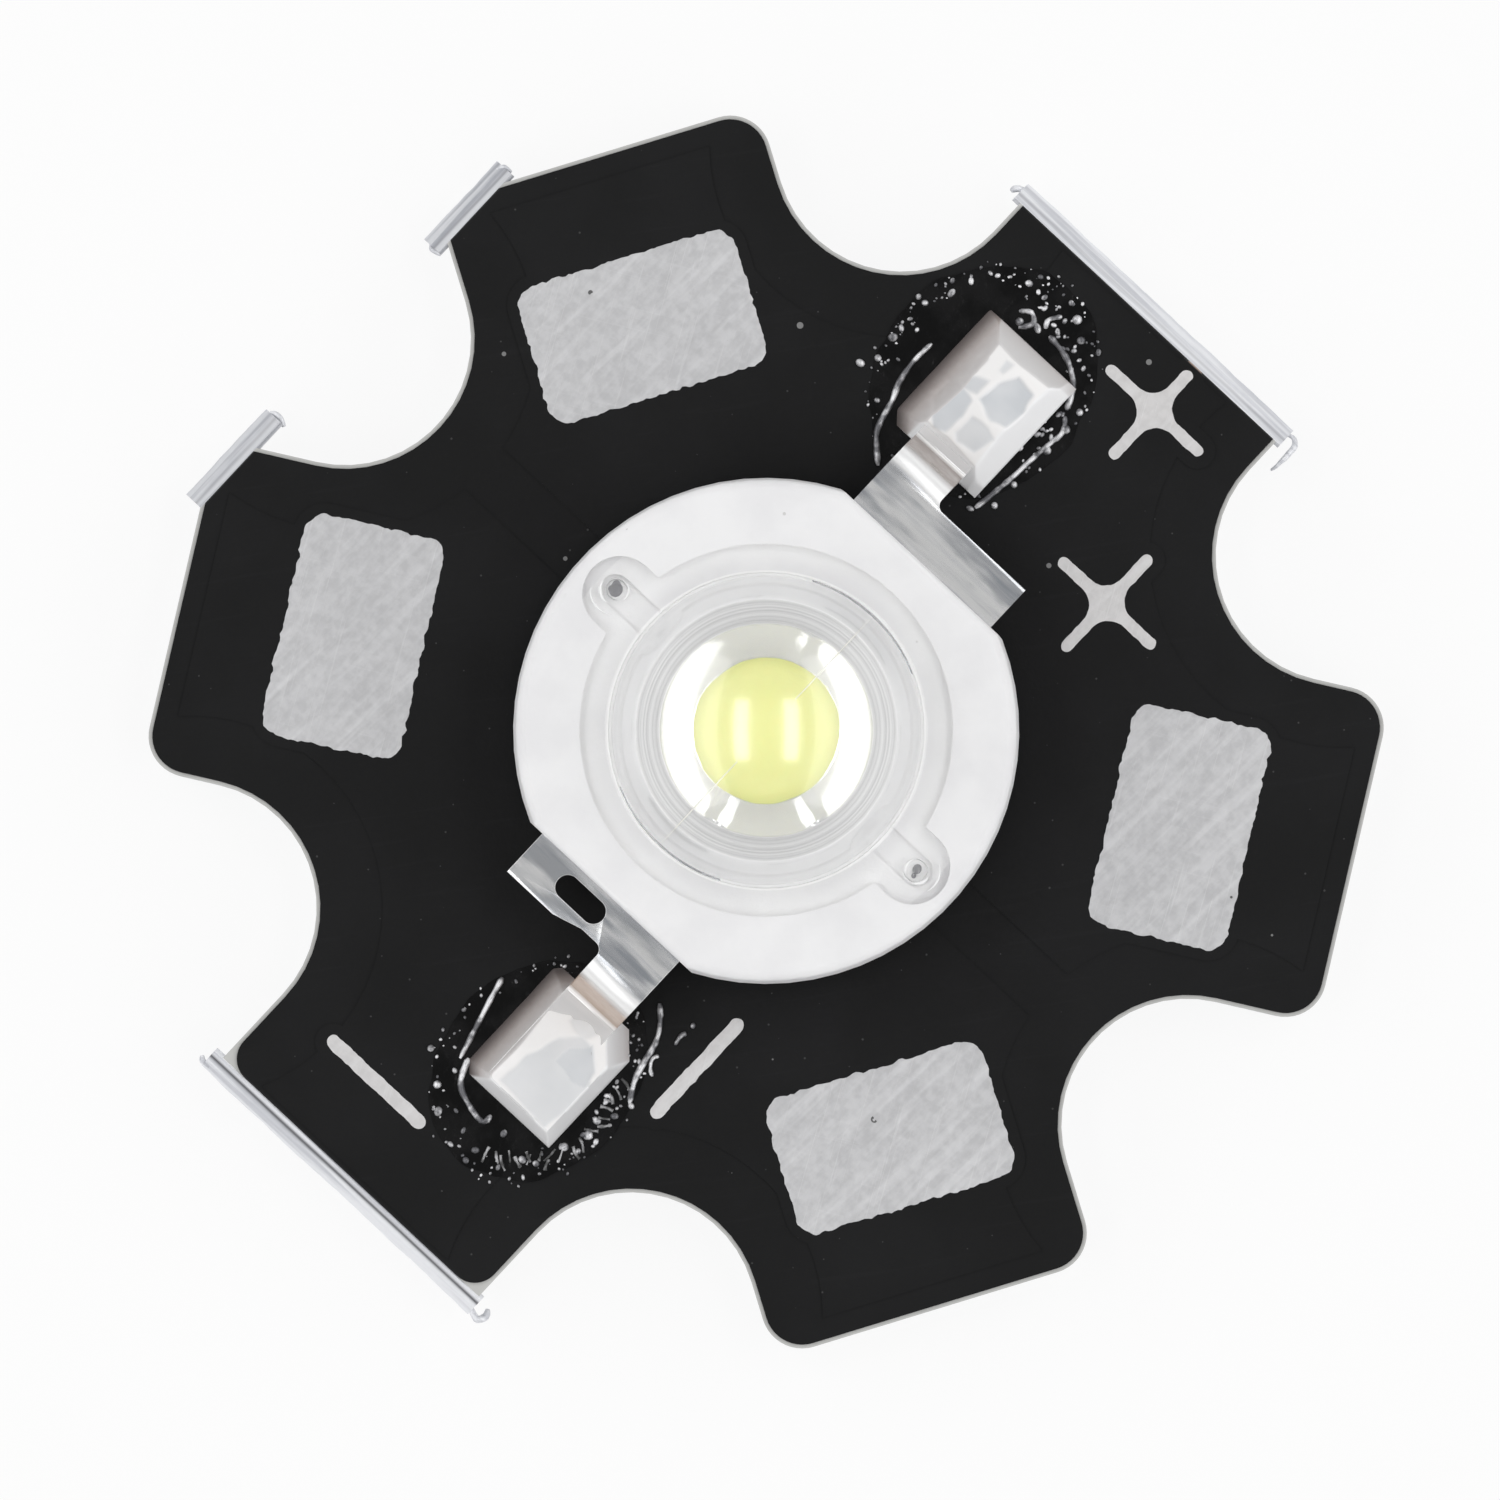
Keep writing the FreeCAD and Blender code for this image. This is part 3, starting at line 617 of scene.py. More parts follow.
@dataclass(frozen=True)
class Aluminium(Finish):
    """Bare aluminium: rolled on its faces, sheared on its punched walls, smooth in its scores."""

    name: str = "bare_aluminium"
    rolled: Colour = (0.70, 0.71, 0.72)
    bright: Colour = (0.86, 0.87, 0.88)
    dark: Colour = (0.36, 0.37, 0.38)
    score: Colour = (0.74, 0.75, 0.79)

    def mix(self, r: Recipe) -> None:
        """Feed the recipe's shader.

        Args:
            r: The recipe.
        """
        rolling = r.streaks((14.0, 0.35, 1.0), detail=4.0)
        shear = r.streaks((11.0, 11.0, 1.2))
        rise = r.facing(2).math("ABSOLUTE")
        flat = rise.ramp(0.80, 0.97)
        sloped = rise.ramp(0.20, 0.35) * (1.0 - flat)
        torn = r.noise(6.0, 4.0)
        faces = r.mix(rolling, self.rolled, self.bright)
        walls = r.mix(shear.ramp(0.35, 0.65) * 0.60 + 0.25, self.dark, self.bright)
        scratch = r.streaks((0.4, 20.0, 1.0), 52.0, 2.0).ramp(0.66, 0.70) * flat
        rough = rolling * 0.12 + torn * 0.15 + (1.0 - flat) * 0.12 + 0.18
        colour = r.mix(sloped, r.mix(flat, walls, faces), self.score)
        r.set(Base_Color=colour, Metallic=0.9 - sloped * 0.5, Roughness=rough + scratch * 0.1)
        relief = rolling * flat + (shear * 1.5 + torn * 2.0) * (1.0 - flat) * (1.0 - sloped * 0.85)
        r.bump(relief - scratch * 0.6, 0.008)


@dataclass(frozen=True)
class TornMetal(Finish):
    """Snapped aluminium: crystalline, bright on its ridges and grey between them, with a painted shadow
    along its groove.
    """

    name: str = "torn_aluminium"
    upright: bool = True
    bright: Colour = (0.84, 0.85, 0.88)
    grey: Colour = (0.56, 0.57, 0.61)
    # Painted shadow: near black along the groove line, by the share that the mesh stores
    painted_fold_shadow: Colour = (0.07, 0.07, 0.08)

    def mix(self, r: Recipe) -> None:
        """Feed the recipe's shader.

        Args:
            r: The recipe.
        """
        streak = r.streaks((10.0, 0.30, 4.0) if self.upright else (0.30, 10.0, 4.0))
        grain = r.noise(7.0, 3.0)
        tone = streak.ramp(0.36, 0.60) * 0.85 + grain * 0.25
        colour = r.mix(r.attribute("painted_fold_shadow"), r.mix(tone, self.grey, self.bright), self.painted_fold_shadow)
        r.set(Base_Color=colour, Metallic=0.30, Roughness=grain * 0.14 + 0.36)
        r.bump(streak * 2.0 + grain * 0.4, 0.0035)


@dataclass(frozen=True)
class PlainGrain(Finish):
    """Simple finish with a cloudy tone, a fine grain and a shallow bump, for layers seen at their edges."""

    name: str
    light: Colour
    dark: Colour
    metallic: float = 0.0
    roughness: float = 0.6
    scale: float = 6.0
    depth: float = 0.004

    def mix(self, r: Recipe) -> None:
        """Feed the recipe's shader.

        Args:
            r: The recipe.
        """
        cloud = r.noise(self.scale * 0.3, 3.0)
        grain = r.noise(self.scale, 4.0)
        r.set(Base_Color=r.mix(cloud * 0.6 + grain * 0.4, self.dark, self.light), Metallic=self.metallic,
              Roughness=grain * 0.2 + (self.roughness - 0.1))
        r.bump(grain, self.depth)


class Paintbox:
    """Makes each finish once."""

    def __init__(self) -> None:
        """Build all the materials of the part."""
        self.lacquer = Lacquer().make()
        self.tin = Tin().make()
        self.tin_mark = Tin("pale_tin", (0.68, 0.67, 0.67), (0.56, 0.55, 0.55)).make()
        self.lead = Silver("lead_plate").make()
        self.lead_brown = Silver("browned_plate", film=(0.40, 0.27, 0.18), film_share=0.84).make()
        self.slug = CupPlate().make()
        self.solder = Solder().make()
        self.flux = FluxResin().make()
        self.spatter = SpatterMetal().make()
        self.smear = SpatterMetal("smeared_metal", (0.42, 0.42, 0.43), (0.07, 0.07, 0.07)).make()
        self.moulding = Moulding().make()
        self.clear = ClearDome().make()
        self.phosphor = PhosphorGel().make()
        self.aluminium = Aluminium().make()
        self.torn = TornMetal().make()
        # Darker copy for the rear edges, which face +Y, the shaded side: painted shade
        self.torn_shaded_copy = TornMetal(
            "torn_aluminium_level", False, (0.68, 0.69, 0.72), (0.36, 0.37, 0.41)).make()
        self.dielectric = PlainGrain("filled_epoxy", (0.60, 0.60, 0.58), (0.44, 0.44, 0.43)).make()
        self.copper = PlainGrain(
            "tarnished_copper", (0.40, 0.29, 0.24), (0.26, 0.19, 0.16), 0.8, 0.45, 9.0).make()
        self.compound = PlainGrain(
            "thermal_paste", (0.80, 0.80, 0.78), (0.66, 0.66, 0.64), 0.0, 0.7, 5.0, 0.02).make()
        self.chip = PlainGrain(
            "polished_chip", (0.20, 0.26, 0.42), (0.12, 0.15, 0.26), 0.3, 0.25, 30.0, 0.001).make()
        self.gold = PlainGrain(
            "drawn_gold", (0.97, 0.96, 0.90), (0.94, 0.92, 0.84), 0.0, 0.80, 40.0, 0.001).make()
        # Grey for the spots in the filling ports: painted shade
        self.haze = PlainGrain(
            "painted_shade_gel", (0.43, 0.43, 0.45), (0.20, 0.20, 0.21), 0.0, 0.50, 9.0, 0.002).make()
        # White for the arcs round the filling ports: painted glints
        self.rim = PlainGrain(
            "painted_glint_gel", (0.98, 0.98, 0.98), (0.90, 0.90, 0.91), 0.0, 0.30, 12.0, 0.002).make()
        self.attach = PlainGrain(
            "die_solder", (0.70, 0.70, 0.72), (0.50, 0.50, 0.52), 1.0, 0.35, 20.0, 0.002).make()


# Mesh work

def reach(node: str) -> tuple[Vector, Vector]:
    """Lowest and highest corner of a frame node, in millimetres."""
    low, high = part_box(node)
    return low / MM, high / MM


def finish_piece(bm: Mesh, name: str, material: Material,
                 replaced: Sequence[str] = (), crease: float = 32.0, level: bool = False) -> None:
    """Turn a mesh in millimetres into a finished piece that rides on the part.

    Args:
        bm: The mesh, which is freed.
        name: Name of the piece.
        material: Its finish.
        replaced: Frame nodes that it stands for.
        crease: Edges sharper than this many degrees stay crisp.
        level: Whether its wide faces stay level beside rounded edges.
    """
    bmesh.ops.scale(bm, vec=(MM, MM, MM), verts=bm.verts)
    mesh = bpy.data.meshes.new(name)
    bm.to_mesh(mesh)
    bm.free()
    mesh.shade_smooth()
    mesh.set_sharp_from_angle(angle=math.radians(crease))
    mesh.materials.append(material)
    piece = placed(name, mesh)
    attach(piece, BODY)
    if level:
        weighted = piece.modifiers.new("level_faces", "WEIGHTED_NORMAL")
        weighted.keep_sharp = True
    if replaced:
        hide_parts(*replaced)
    LOG.info("%s: %d faces", name, len(mesh.polygons))


def placed(name: str, data: bpy.types.ID) -> bpy.types.Object:
    """Put an object with a mesh, lamp or camera into the scene.

    Args:
        name: Name of the object.
        data: What it holds.

    Returns:
        The object.
    """
    made = bpy.data.objects.new(name, data)
    bpy.context.scene.collection.objects.link(made)
    return made


def dress(node: str, material: Material) -> None:
    """Give a frame node, which keeps its shape, a finish of its own.

    Args:
        node: Name of the node.
        material: The finish.
    """
    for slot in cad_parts[node].material_slots:
        slot.material = material
    LOG.info("%s: %s", node, material.name)


def wobble(point: Vector, frequency: float, seed: float = 0.0) -> float:
    """Smooth noise from -1 to 1 at a point in millimetres."""
    return noise.noise(point * frequency + Vector((seed, 2.7 * seed, -1.3 * seed)))


def frame_copy(node: str) -> Mesh:
    """Copy a frame node, with its points welded and its flat triangles joined into whole faces.

    Args:
        node: Name of the node.

    Returns:
        The copy, in millimetres.
    """
    bm = bmesh.new()
    bm.from_mesh(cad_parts[node].data)
    bmesh.ops.scale(bm, vec=(1 / MM, 1 / MM, 1 / MM), verts=bm.verts)
    bmesh.ops.remove_doubles(bm, verts=bm.verts, dist=0.0005)
    bmesh.ops.dissolve_limit(bm, angle_limit=math.radians(1.0), verts=bm.verts, edges=bm.edges)
    return bm


def soften(bm: Mesh, width: float, angle: float, segments: int) -> None:
    """Round the sharp edges of a mesh.

    Args:
        bm: The mesh.
        width: Width of the rounding.
        angle: Edges sharper than this many degrees are rounded.
        segments: Number of steps in the rounding.
    """
    sharp = [e for e in bm.edges if e.is_manifold and e.calc_face_angle(0.0) > math.radians(angle)]
    bmesh.ops.bevel(bm, geom=sharp, offset=width, offset_type="OFFSET", segments=segments, profile=0.5,
                    affect="EDGES", clamp_overlap=True, material=-1)


def thicken(bm: Mesh, shift: Sequence[float] = (0.0, 0.0, 0.0), floor: Optional[float] = None) -> None:
    """Close an open sheet into a solid.

    Args:
        bm: The sheet.
        shift: Move of the solid's other side.
        floor: Height to which the other side is brought instead.
    """
    for item in bmesh.ops.extrude_face_region(bm, geom=bm.faces[:])["geom"]:
        if isinstance(item, bmesh.types.BMVert):
            item.co += Vector(shift)
            item.co.z = item.co.z if floor is None else floor
    bmesh.ops.recalc_face_normals(bm, faces=bm.faces)


def arc(centre: Point, radius: float, start: float, end: float, steps: int) -> list[Point]:
    """Points along an arc in a profile, from a start to an end angle in degrees."""
    turns = [math.radians(start + (end - start) * i / steps) for i in range(steps + 1)]
    return [(centre[0] + radius * math.cos(t), centre[1] + radius * math.sin(t)) for t in turns]


def lathe(profile: Sequence[Point], steps: int) -> Mesh:
    """Spin a profile about Z.

    Args:
        profile: Points of (radius, height).
        steps: Number of steps round the axis.

    Returns:
        The closed mesh.
    """
    bm = bmesh.new()
    verts = [bm.verts.new((r, 0.0, z)) for r, z in profile]
    for first, second in zip(verts, verts[1:]):
        bm.edges.new((first, second))
    bmesh.ops.spin(bm, geom=bm.verts[:] + bm.edges[:], axis=(0, 0, 1), cent=(0, 0, 0), angle=2 * math.pi,
                   steps=steps, use_merge=True, use_duplicate=False)
    bmesh.ops.remove_doubles(bm, verts=bm.verts, dist=WELD)
    bmesh.ops.recalc_face_normals(bm, faces=bm.faces)
    return bm


def add_bead(bm: Mesh, centre: Vector, radii: Sequence[float], turn: float) -> None:
    """Add a small closed bead.

    Args:
        bm: Mesh that takes the bead.
        centre: Its middle.
        radii: Its three radii.
        turn: Its turn about Z, in degrees.
    """
    place = Matrix.Translation(centre) @ Matrix.Rotation(math.radians(turn), 4, "Z")
    place @= Matrix.Diagonal((*radii, 1.0))
    bmesh.ops.create_icosphere(bm, subdivisions=2, radius=1.0, matrix=place)


def add_thread(bm: Mesh, path: Sequence[Vector], radii: Sequence[float], sides: int = 8) -> None:
    """Add a round closed thread along a path.

    Args:
        bm: Mesh that takes the thread.
        path: Points along its middle.
        radii: Its radius at each point.
        sides: Number of sides.
    """
    before: list[bmesh.types.BMEdge] = []
    for index, (point, radius) in enumerate(zip(path, radii)):
        ahead = path[min(index + 1, len(path) - 1)] - path[max(index - 1, 0)]
        place = Matrix.Translation(point) @ ahead.to_track_quat("Z", "Y").to_matrix().to_4x4()
        ends = index in (0, len(path) - 1)
        made = bmesh.ops.create_circle(bm, cap_ends=ends, segments=sides, radius=radius, matrix=place)
        ring = list(dict.fromkeys(e for v in made["verts"] for e in v.link_edges))
        if before:
            bmesh.ops.bridge_loops(bm, edges=before + ring)
        before = ring
    bmesh.ops.recalc_face_normals(bm, faces=bm.faces)


def combined(base: Mesh, tool: Mesh, operation: str) -> Mesh:
    """Join or cut one closed mesh with another.

    Args:
        base: Mesh that is kept, freed here.
        tool: Mesh that is added or taken away, freed here.
        operation: UNION or DIFFERENCE.

    Returns:
        The new mesh.
    """
    solids = []
    for bm in (base, tool):
        mesh = bpy.data.meshes.new("solid")
        bm.to_mesh(mesh)
        bm.free()
        solids.append(placed("solid", mesh))
    cut = solids[0].modifiers.new("join", "BOOLEAN")
    cut.operation = operation
    cut.solver = "EXACT"
    cut.object = solids[1]
    shown = solids[0].evaluated_get(bpy.context.evaluated_depsgraph_get())
    result = bmesh.new()
    result.from_mesh(shown.to_mesh())
    for solid in solids:
        bpy.data.objects.remove(solid)
    return result


def smooth_path(points: Sequence[Sequence[float]], steps: int = 5) -> list[Vector]:
    """Draw a smooth curve through points.

    Args:
        points: The points.
        steps: Number of steps between each two of them.

    Returns:
        Places along the curve.
    """
    ends = [Vector(points[0]), *(Vector(p) for p in points), Vector(points[-1])]
    curve = []
    for a, b, c, d in zip(ends, ends[1:], ends[2:], ends[3:]):
        for i in range(steps):
            t = i / steps
            curve.append(0.5 * (2 * b + (c - a) * t + (2 * a - 5 * b + 4 * c - d) * t ** 2
                                + (3 * b - a - 3 * c + d) * t ** 3))
    return [*curve, Vector(points[-1])]


# Board

@dataclass
class TornEdge:
    """Ribbon of smeared and snapped metal on the upper flank of one scored edge."""

    name: str
    facing: float
    plane: float
    flank: float
    start: float
    end: float
    seed: float
    top: float
    depth: float
    groove: float = 0.0
    # Strength of the painted shadow along the groove line
    shade: float = 0.30
    spacing: float = 0.05
    rows: int = 18
    cling: float = 0.010
    burr: float = 0.040
    burr_at: float = 0.66
    burr_width: float = 0.10
    groove_at: float = 0.34
    groove_width: float = 0.09
    overhang: float = 0.035
    thickness: float = 0.055
    lead_in: float = 0.08

    def build(self) -> Mesh:
        """Shape the ribbon along the edge.

        Returns:
            The closed ribbon, in millimetres, turned to its side of the board.
        """
        columns = round((self.end - self.start) / self.spacing)
        bm = bmesh.new()
        bmesh.ops.create_grid(bm, x_segments=self.rows, y_segments=columns, size=1.0)
        fold_shadow_layer = bm.verts.layers.float.new("painted_fold_shadow")
        for vert in bm.verts:
            across = (vert.co.x + 1) / 2
            along = self.start + (self.end - self.start) * (vert.co.y + 1) / 2
            # Share of painted shadow along the groove line, also where the groove has no depth
            vert[fold_shadow_layer] = self.shade * self.groove_share(across, along)
            vert.co = self.place(across, along)
        thicken(bm, (-self.thickness, 0.0, -self.thickness))
        turn = Matrix.Rotation(math.radians(self.facing), 3, "Z")
        bmesh.ops.rotate(bm, cent=(0, 0, 0), matrix=turn, verts=bm.verts)
        return bm

    def groove_share(self, across: float, along: float) -> float:
        """Share of the lengthwise groove's depth that is reached at a place."""
        drift = 0.025 * wobble(Vector((0.0, along, 0.0)), 0.7, self.seed)
        return math.exp(-((across - self.groove_at - drift) / self.groove_width) ** 2)

    def place(self, across: float, along: float) -> Vector:
        """Position on the ribbon.

        Args:
            across: Share of the way from the lacquer to the snapped lip.
            along: Distance along the edge.

        Returns:
            The point, for an edge that faces +X.
        """
        line = Vector((0.0, along, 0.0))
        spot = Vector((across * 1.5, along, self.seed))
        drift = 0.05 * wobble(line, 0.7, self.seed)
        burr = math.exp(-((across - self.burr_at - drift) / self.burr_width) ** 2)
        burr *= 1 + 0.5 * wobble(line, 1.7, 5.0)
        lift = self.cling + self.burr * burr + 0.006 * wobble(spot, 3.0, 4.0)
        lift -= self.groove * self.groove_share(across, along)
        lift *= min(1.0, across / self.lead_in)
        ragged = self.overhang * (0.4 + 0.6 * wobble(line, 1.1, self.seed) + 0.25 * wobble(line, 5.0, 2.0))
        x = self.plane - self.flank * (1 - across) + ragged * across ** 4
        z = self.top - self.depth * across + lift
        return Vector((x, along, z))


@dataclass
class StarBoard:
    """Star-shaped plate with its layers, its tinned pads and marks, and its snapped edges."""

    paint: Paintbox
    tooth_step: float = 0.055
    pad_teeth: tuple[float, float] = (0.026, 0.046)
    plus_teeth: tuple[float, float] = (0.006, 0.014)
    minus_teeth: tuple[float, float] = (0.024, 0.018)
    score_depth: float = 0.54
    film_rise: float = 0.004
    corner_radius: float = 0.42
    corner_crease: float = 3.0
    pad_nodes: Sequence[str] = ("tin_pad_positive_rear", "tin_pad_negative_rear",
                                "tin_pad_negative_front", "tin_pad_positive_front")
    plus_nodes: Sequence[str] = ("plus_mark_inner", "plus_mark_outer")
    minus_nodes: Sequence[str] = ("minus_mark_upright", "minus_mark_level")
    sliver_drop: float = 0.42
    slivers: Sequence[tuple[float, Sequence[Place]]] = (
        (0.045, ((9.08, -2.72, 0.0), (9.12, -2.96, 0.1), (8.98, -3.06, 0.2), (8.7, -3.05, 0.2),
                 (8.52, -3.02, 0.1))),
        (0.055, ((9.1, 2.74, 0.0), (9.06, 2.95, 0.1), (8.94, 3.02, 0.15))),
        (0.050, ((-9.82, 2.7, 0.0), (-9.93, 2.95, 0.1), (-9.86, 3.05, 0.1))),
        (0.060, ((-9.84, -2.7, 0.0), (-9.95, -2.98, 0.1), (-9.84, -3.07, 0.05), (-9.72, -3.02, 0.0))),
        (0.045, ((-1.78, 9.14, 0.0), (-1.66, 9.2, 0.1), (-1.62, 9.04, 0.2), (-1.68, 8.9, 0.2))),
        (0.040, ((3.62, 9.22, 0.1), (3.72, 9.16, 0.2), (3.74, 9.02, 0.2))),
        (0.040, ((2.06, 9.2, 0.0), (1.99, 9.1, 0.1), (2.02, 8.96, 0.2))),
    )

    def build(self) -> None:
        """Build and dress the board."""
        dress("aluminium_base", self.paint.aluminium)
        dress("dielectric_layer", self.paint.dielectric)
        self.build_lacquer()
        for node in ("copper_positive", "copper_negative", "copper_thermal_pad"):
            dress(node, self.paint.copper)
        for nodes, teeth, finish in ((self.pad_nodes, self.pad_teeth, self.paint.tin),
                                     (self.plus_nodes, self.plus_teeth, self.paint.tin_mark),
                                     (self.minus_nodes, self.minus_teeth, self.paint.tin_mark)):
            for node in nodes:
                self.build_tin(node, finish, *teeth)
        self.build_torn_edges()
        self.build_slivers()

    def build_lacquer(self) -> None:
        """Round the lacquer's corners beside the left score, where the star ends before the score does."""
        bm = frame_copy("solder_mask")
        left = reach("solder_mask")[0].x
        ends = [v.co.y for v in bm.verts if v.co.x < left + self.corner_radius / 2]
        for side, end in ((1, max(ends)), (-1, min(ends))):
            bm = combined(bm, self.corner_cutter(left, end, side), "DIFFERENCE")
        finish_piece(bm, "lacquer_coat", self.paint.lacquer, ("solder_mask",),
                     self.corner_crease)

    def corner_cutter(self, left: float, end: float, side: int) -> Mesh:
        """Prism that takes a square corner off and leaves a round one.

        Args:
            left: Place of the corner along X.
            end: Place of the corner along Y.
            side: 1 for the corner towards +Y, -1 for the other.

        Returns:
            The closed prism.
        """
        low, high = reach("solder_mask")
        radius = self.corner_radius
        spare = 0.3
        outline = arc((left + radius, -radius), radius, 90.0, 180.0, 16)
        outline += [(left - spare, -radius), (left - spare, spare), (left + radius, spare)]
        bm = bmesh.new()
        bm.faces.new([bm.verts.new((x, end + side * y, low.z - spare)) for x, y in outline])
        thicken(bm, (0, 0, high.z - low.z + 2 * spare))
        return bm

    def build_tin(self, node: str, finish: Material, spread: float, depth: float) -> None:
        """Give a tinned field the uneven outline that its printed window has.

        Args:
            node: The frame node that the field replaces.
            finish: Its material.
            spread: How far its outline lies outside the frame's.
            depth: Depth of the unevenness.
        """
        bm = frame_copy(node)
        low, high = reach(node)
        buried = [f for f in bm.faces if f.normal.z < 0.9 or f.calc_center_median().z < high.z - 0.001]
        bmesh.ops.delete(bm, geom=buried, context="FACES")
        for edge in bm.edges[:]:
            cuts = int(edge.calc_length() / self.tooth_step)
            if cuts:
                bmesh.ops.subdivide_edges(bm, edges=[edge], cuts=cuts)
        bm.faces.ensure_lookup_table()
        moves = []
        for loop in bm.faces[0].loops:
            run = loop.link_loop_next.vert.co - loop.link_loop_prev.vert.co
            outward = Vector((run.y, -run.x, 0.0)).normalized()
            tooth = wobble(loop.vert.co, 5.5, 3.0) * 0.5 + wobble(loop.vert.co, 11.0, 8.0) * 0.8
            moves.append((loop.vert, outward * (spread + depth * tooth)))
        for vert, move in moves:
            vert.co += move
        rise = reach("solder_mask")[1].z + self.film_rise - high.z
        bmesh.ops.translate(bm, verts=bm.verts, vec=(0, 0, rise))
        thicken(bm, (0, 0, low.z - high.z - rise))
        finish_piece(bm, node + "_tinned", finish, (node,))

    def edges(self) -> list[TornEdge]:
        """Place the snapped edges.

        Returns:
            One edge on the right and the left score, and two on the rear one.
        """
        low, high = reach("aluminium_base")
        inner_low, inner = reach("solder_mask")
        top = reach("dielectric_layer")[1].z
        right = high.x - inner.x
        left = inner_low.x - low.x
        rear = high.y - inner.y
        depth = self.score_depth
        return [
            TornEdge("torn_edge_right", 0.0, high.x, right, -2.86, 2.90, 1.0, top, depth),
            TornEdge("torn_edge_left", 180.0, -low.x, left, -2.95, 2.84, 2.0, top, depth,
                     groove=0.045, shade=0.95, cling=0.055),
            TornEdge("torn_edge_rear_right", 90.0, high.y, rear, -3.72, -2.02, 3.0, top, depth),
            TornEdge("torn_edge_rear_left", 90.0, high.y, rear, 1.66, 3.52, 4.0, top, depth),
        ]

    def build_torn_edges(self) -> None:
        """Build the ribbons of snapped metal."""
        for edge in self.edges():
            # The rear edges, facing +Y, take the darker copy: painted shade
            finish = self.paint.torn_shaded_copy if edge.facing == 90.0 else self.paint.torn
            finish_piece(edge.build(), edge.name, finish, crease=40.0)

    def build_slivers(self) -> None:
        """Build the bent slivers that the snapping left at the ends of the scores."""
        low = reach("aluminium_base")[1].z - self.sliver_drop
        bm = bmesh.new()
        for width, points in self.slivers:
            path = smooth_path([(x, y, low + rise) for x, y, rise in points])
            swells = [math.sin(math.pi * (i + 0.6) / len(path)) for i in range(len(path))]
            add_thread(bm, path, [width * (0.55 + 0.45 * swell) for swell in swells])
        for vert in bm.verts:
            vert.co += Vector((wobble(vert.co, 6.0, 1.0), wobble(vert.co, 6.0, 5.0), 0)) * 0.02
        finish_piece(bm, "snapped_slivers", self.paint.torn, crease=60.0)


# Emitter

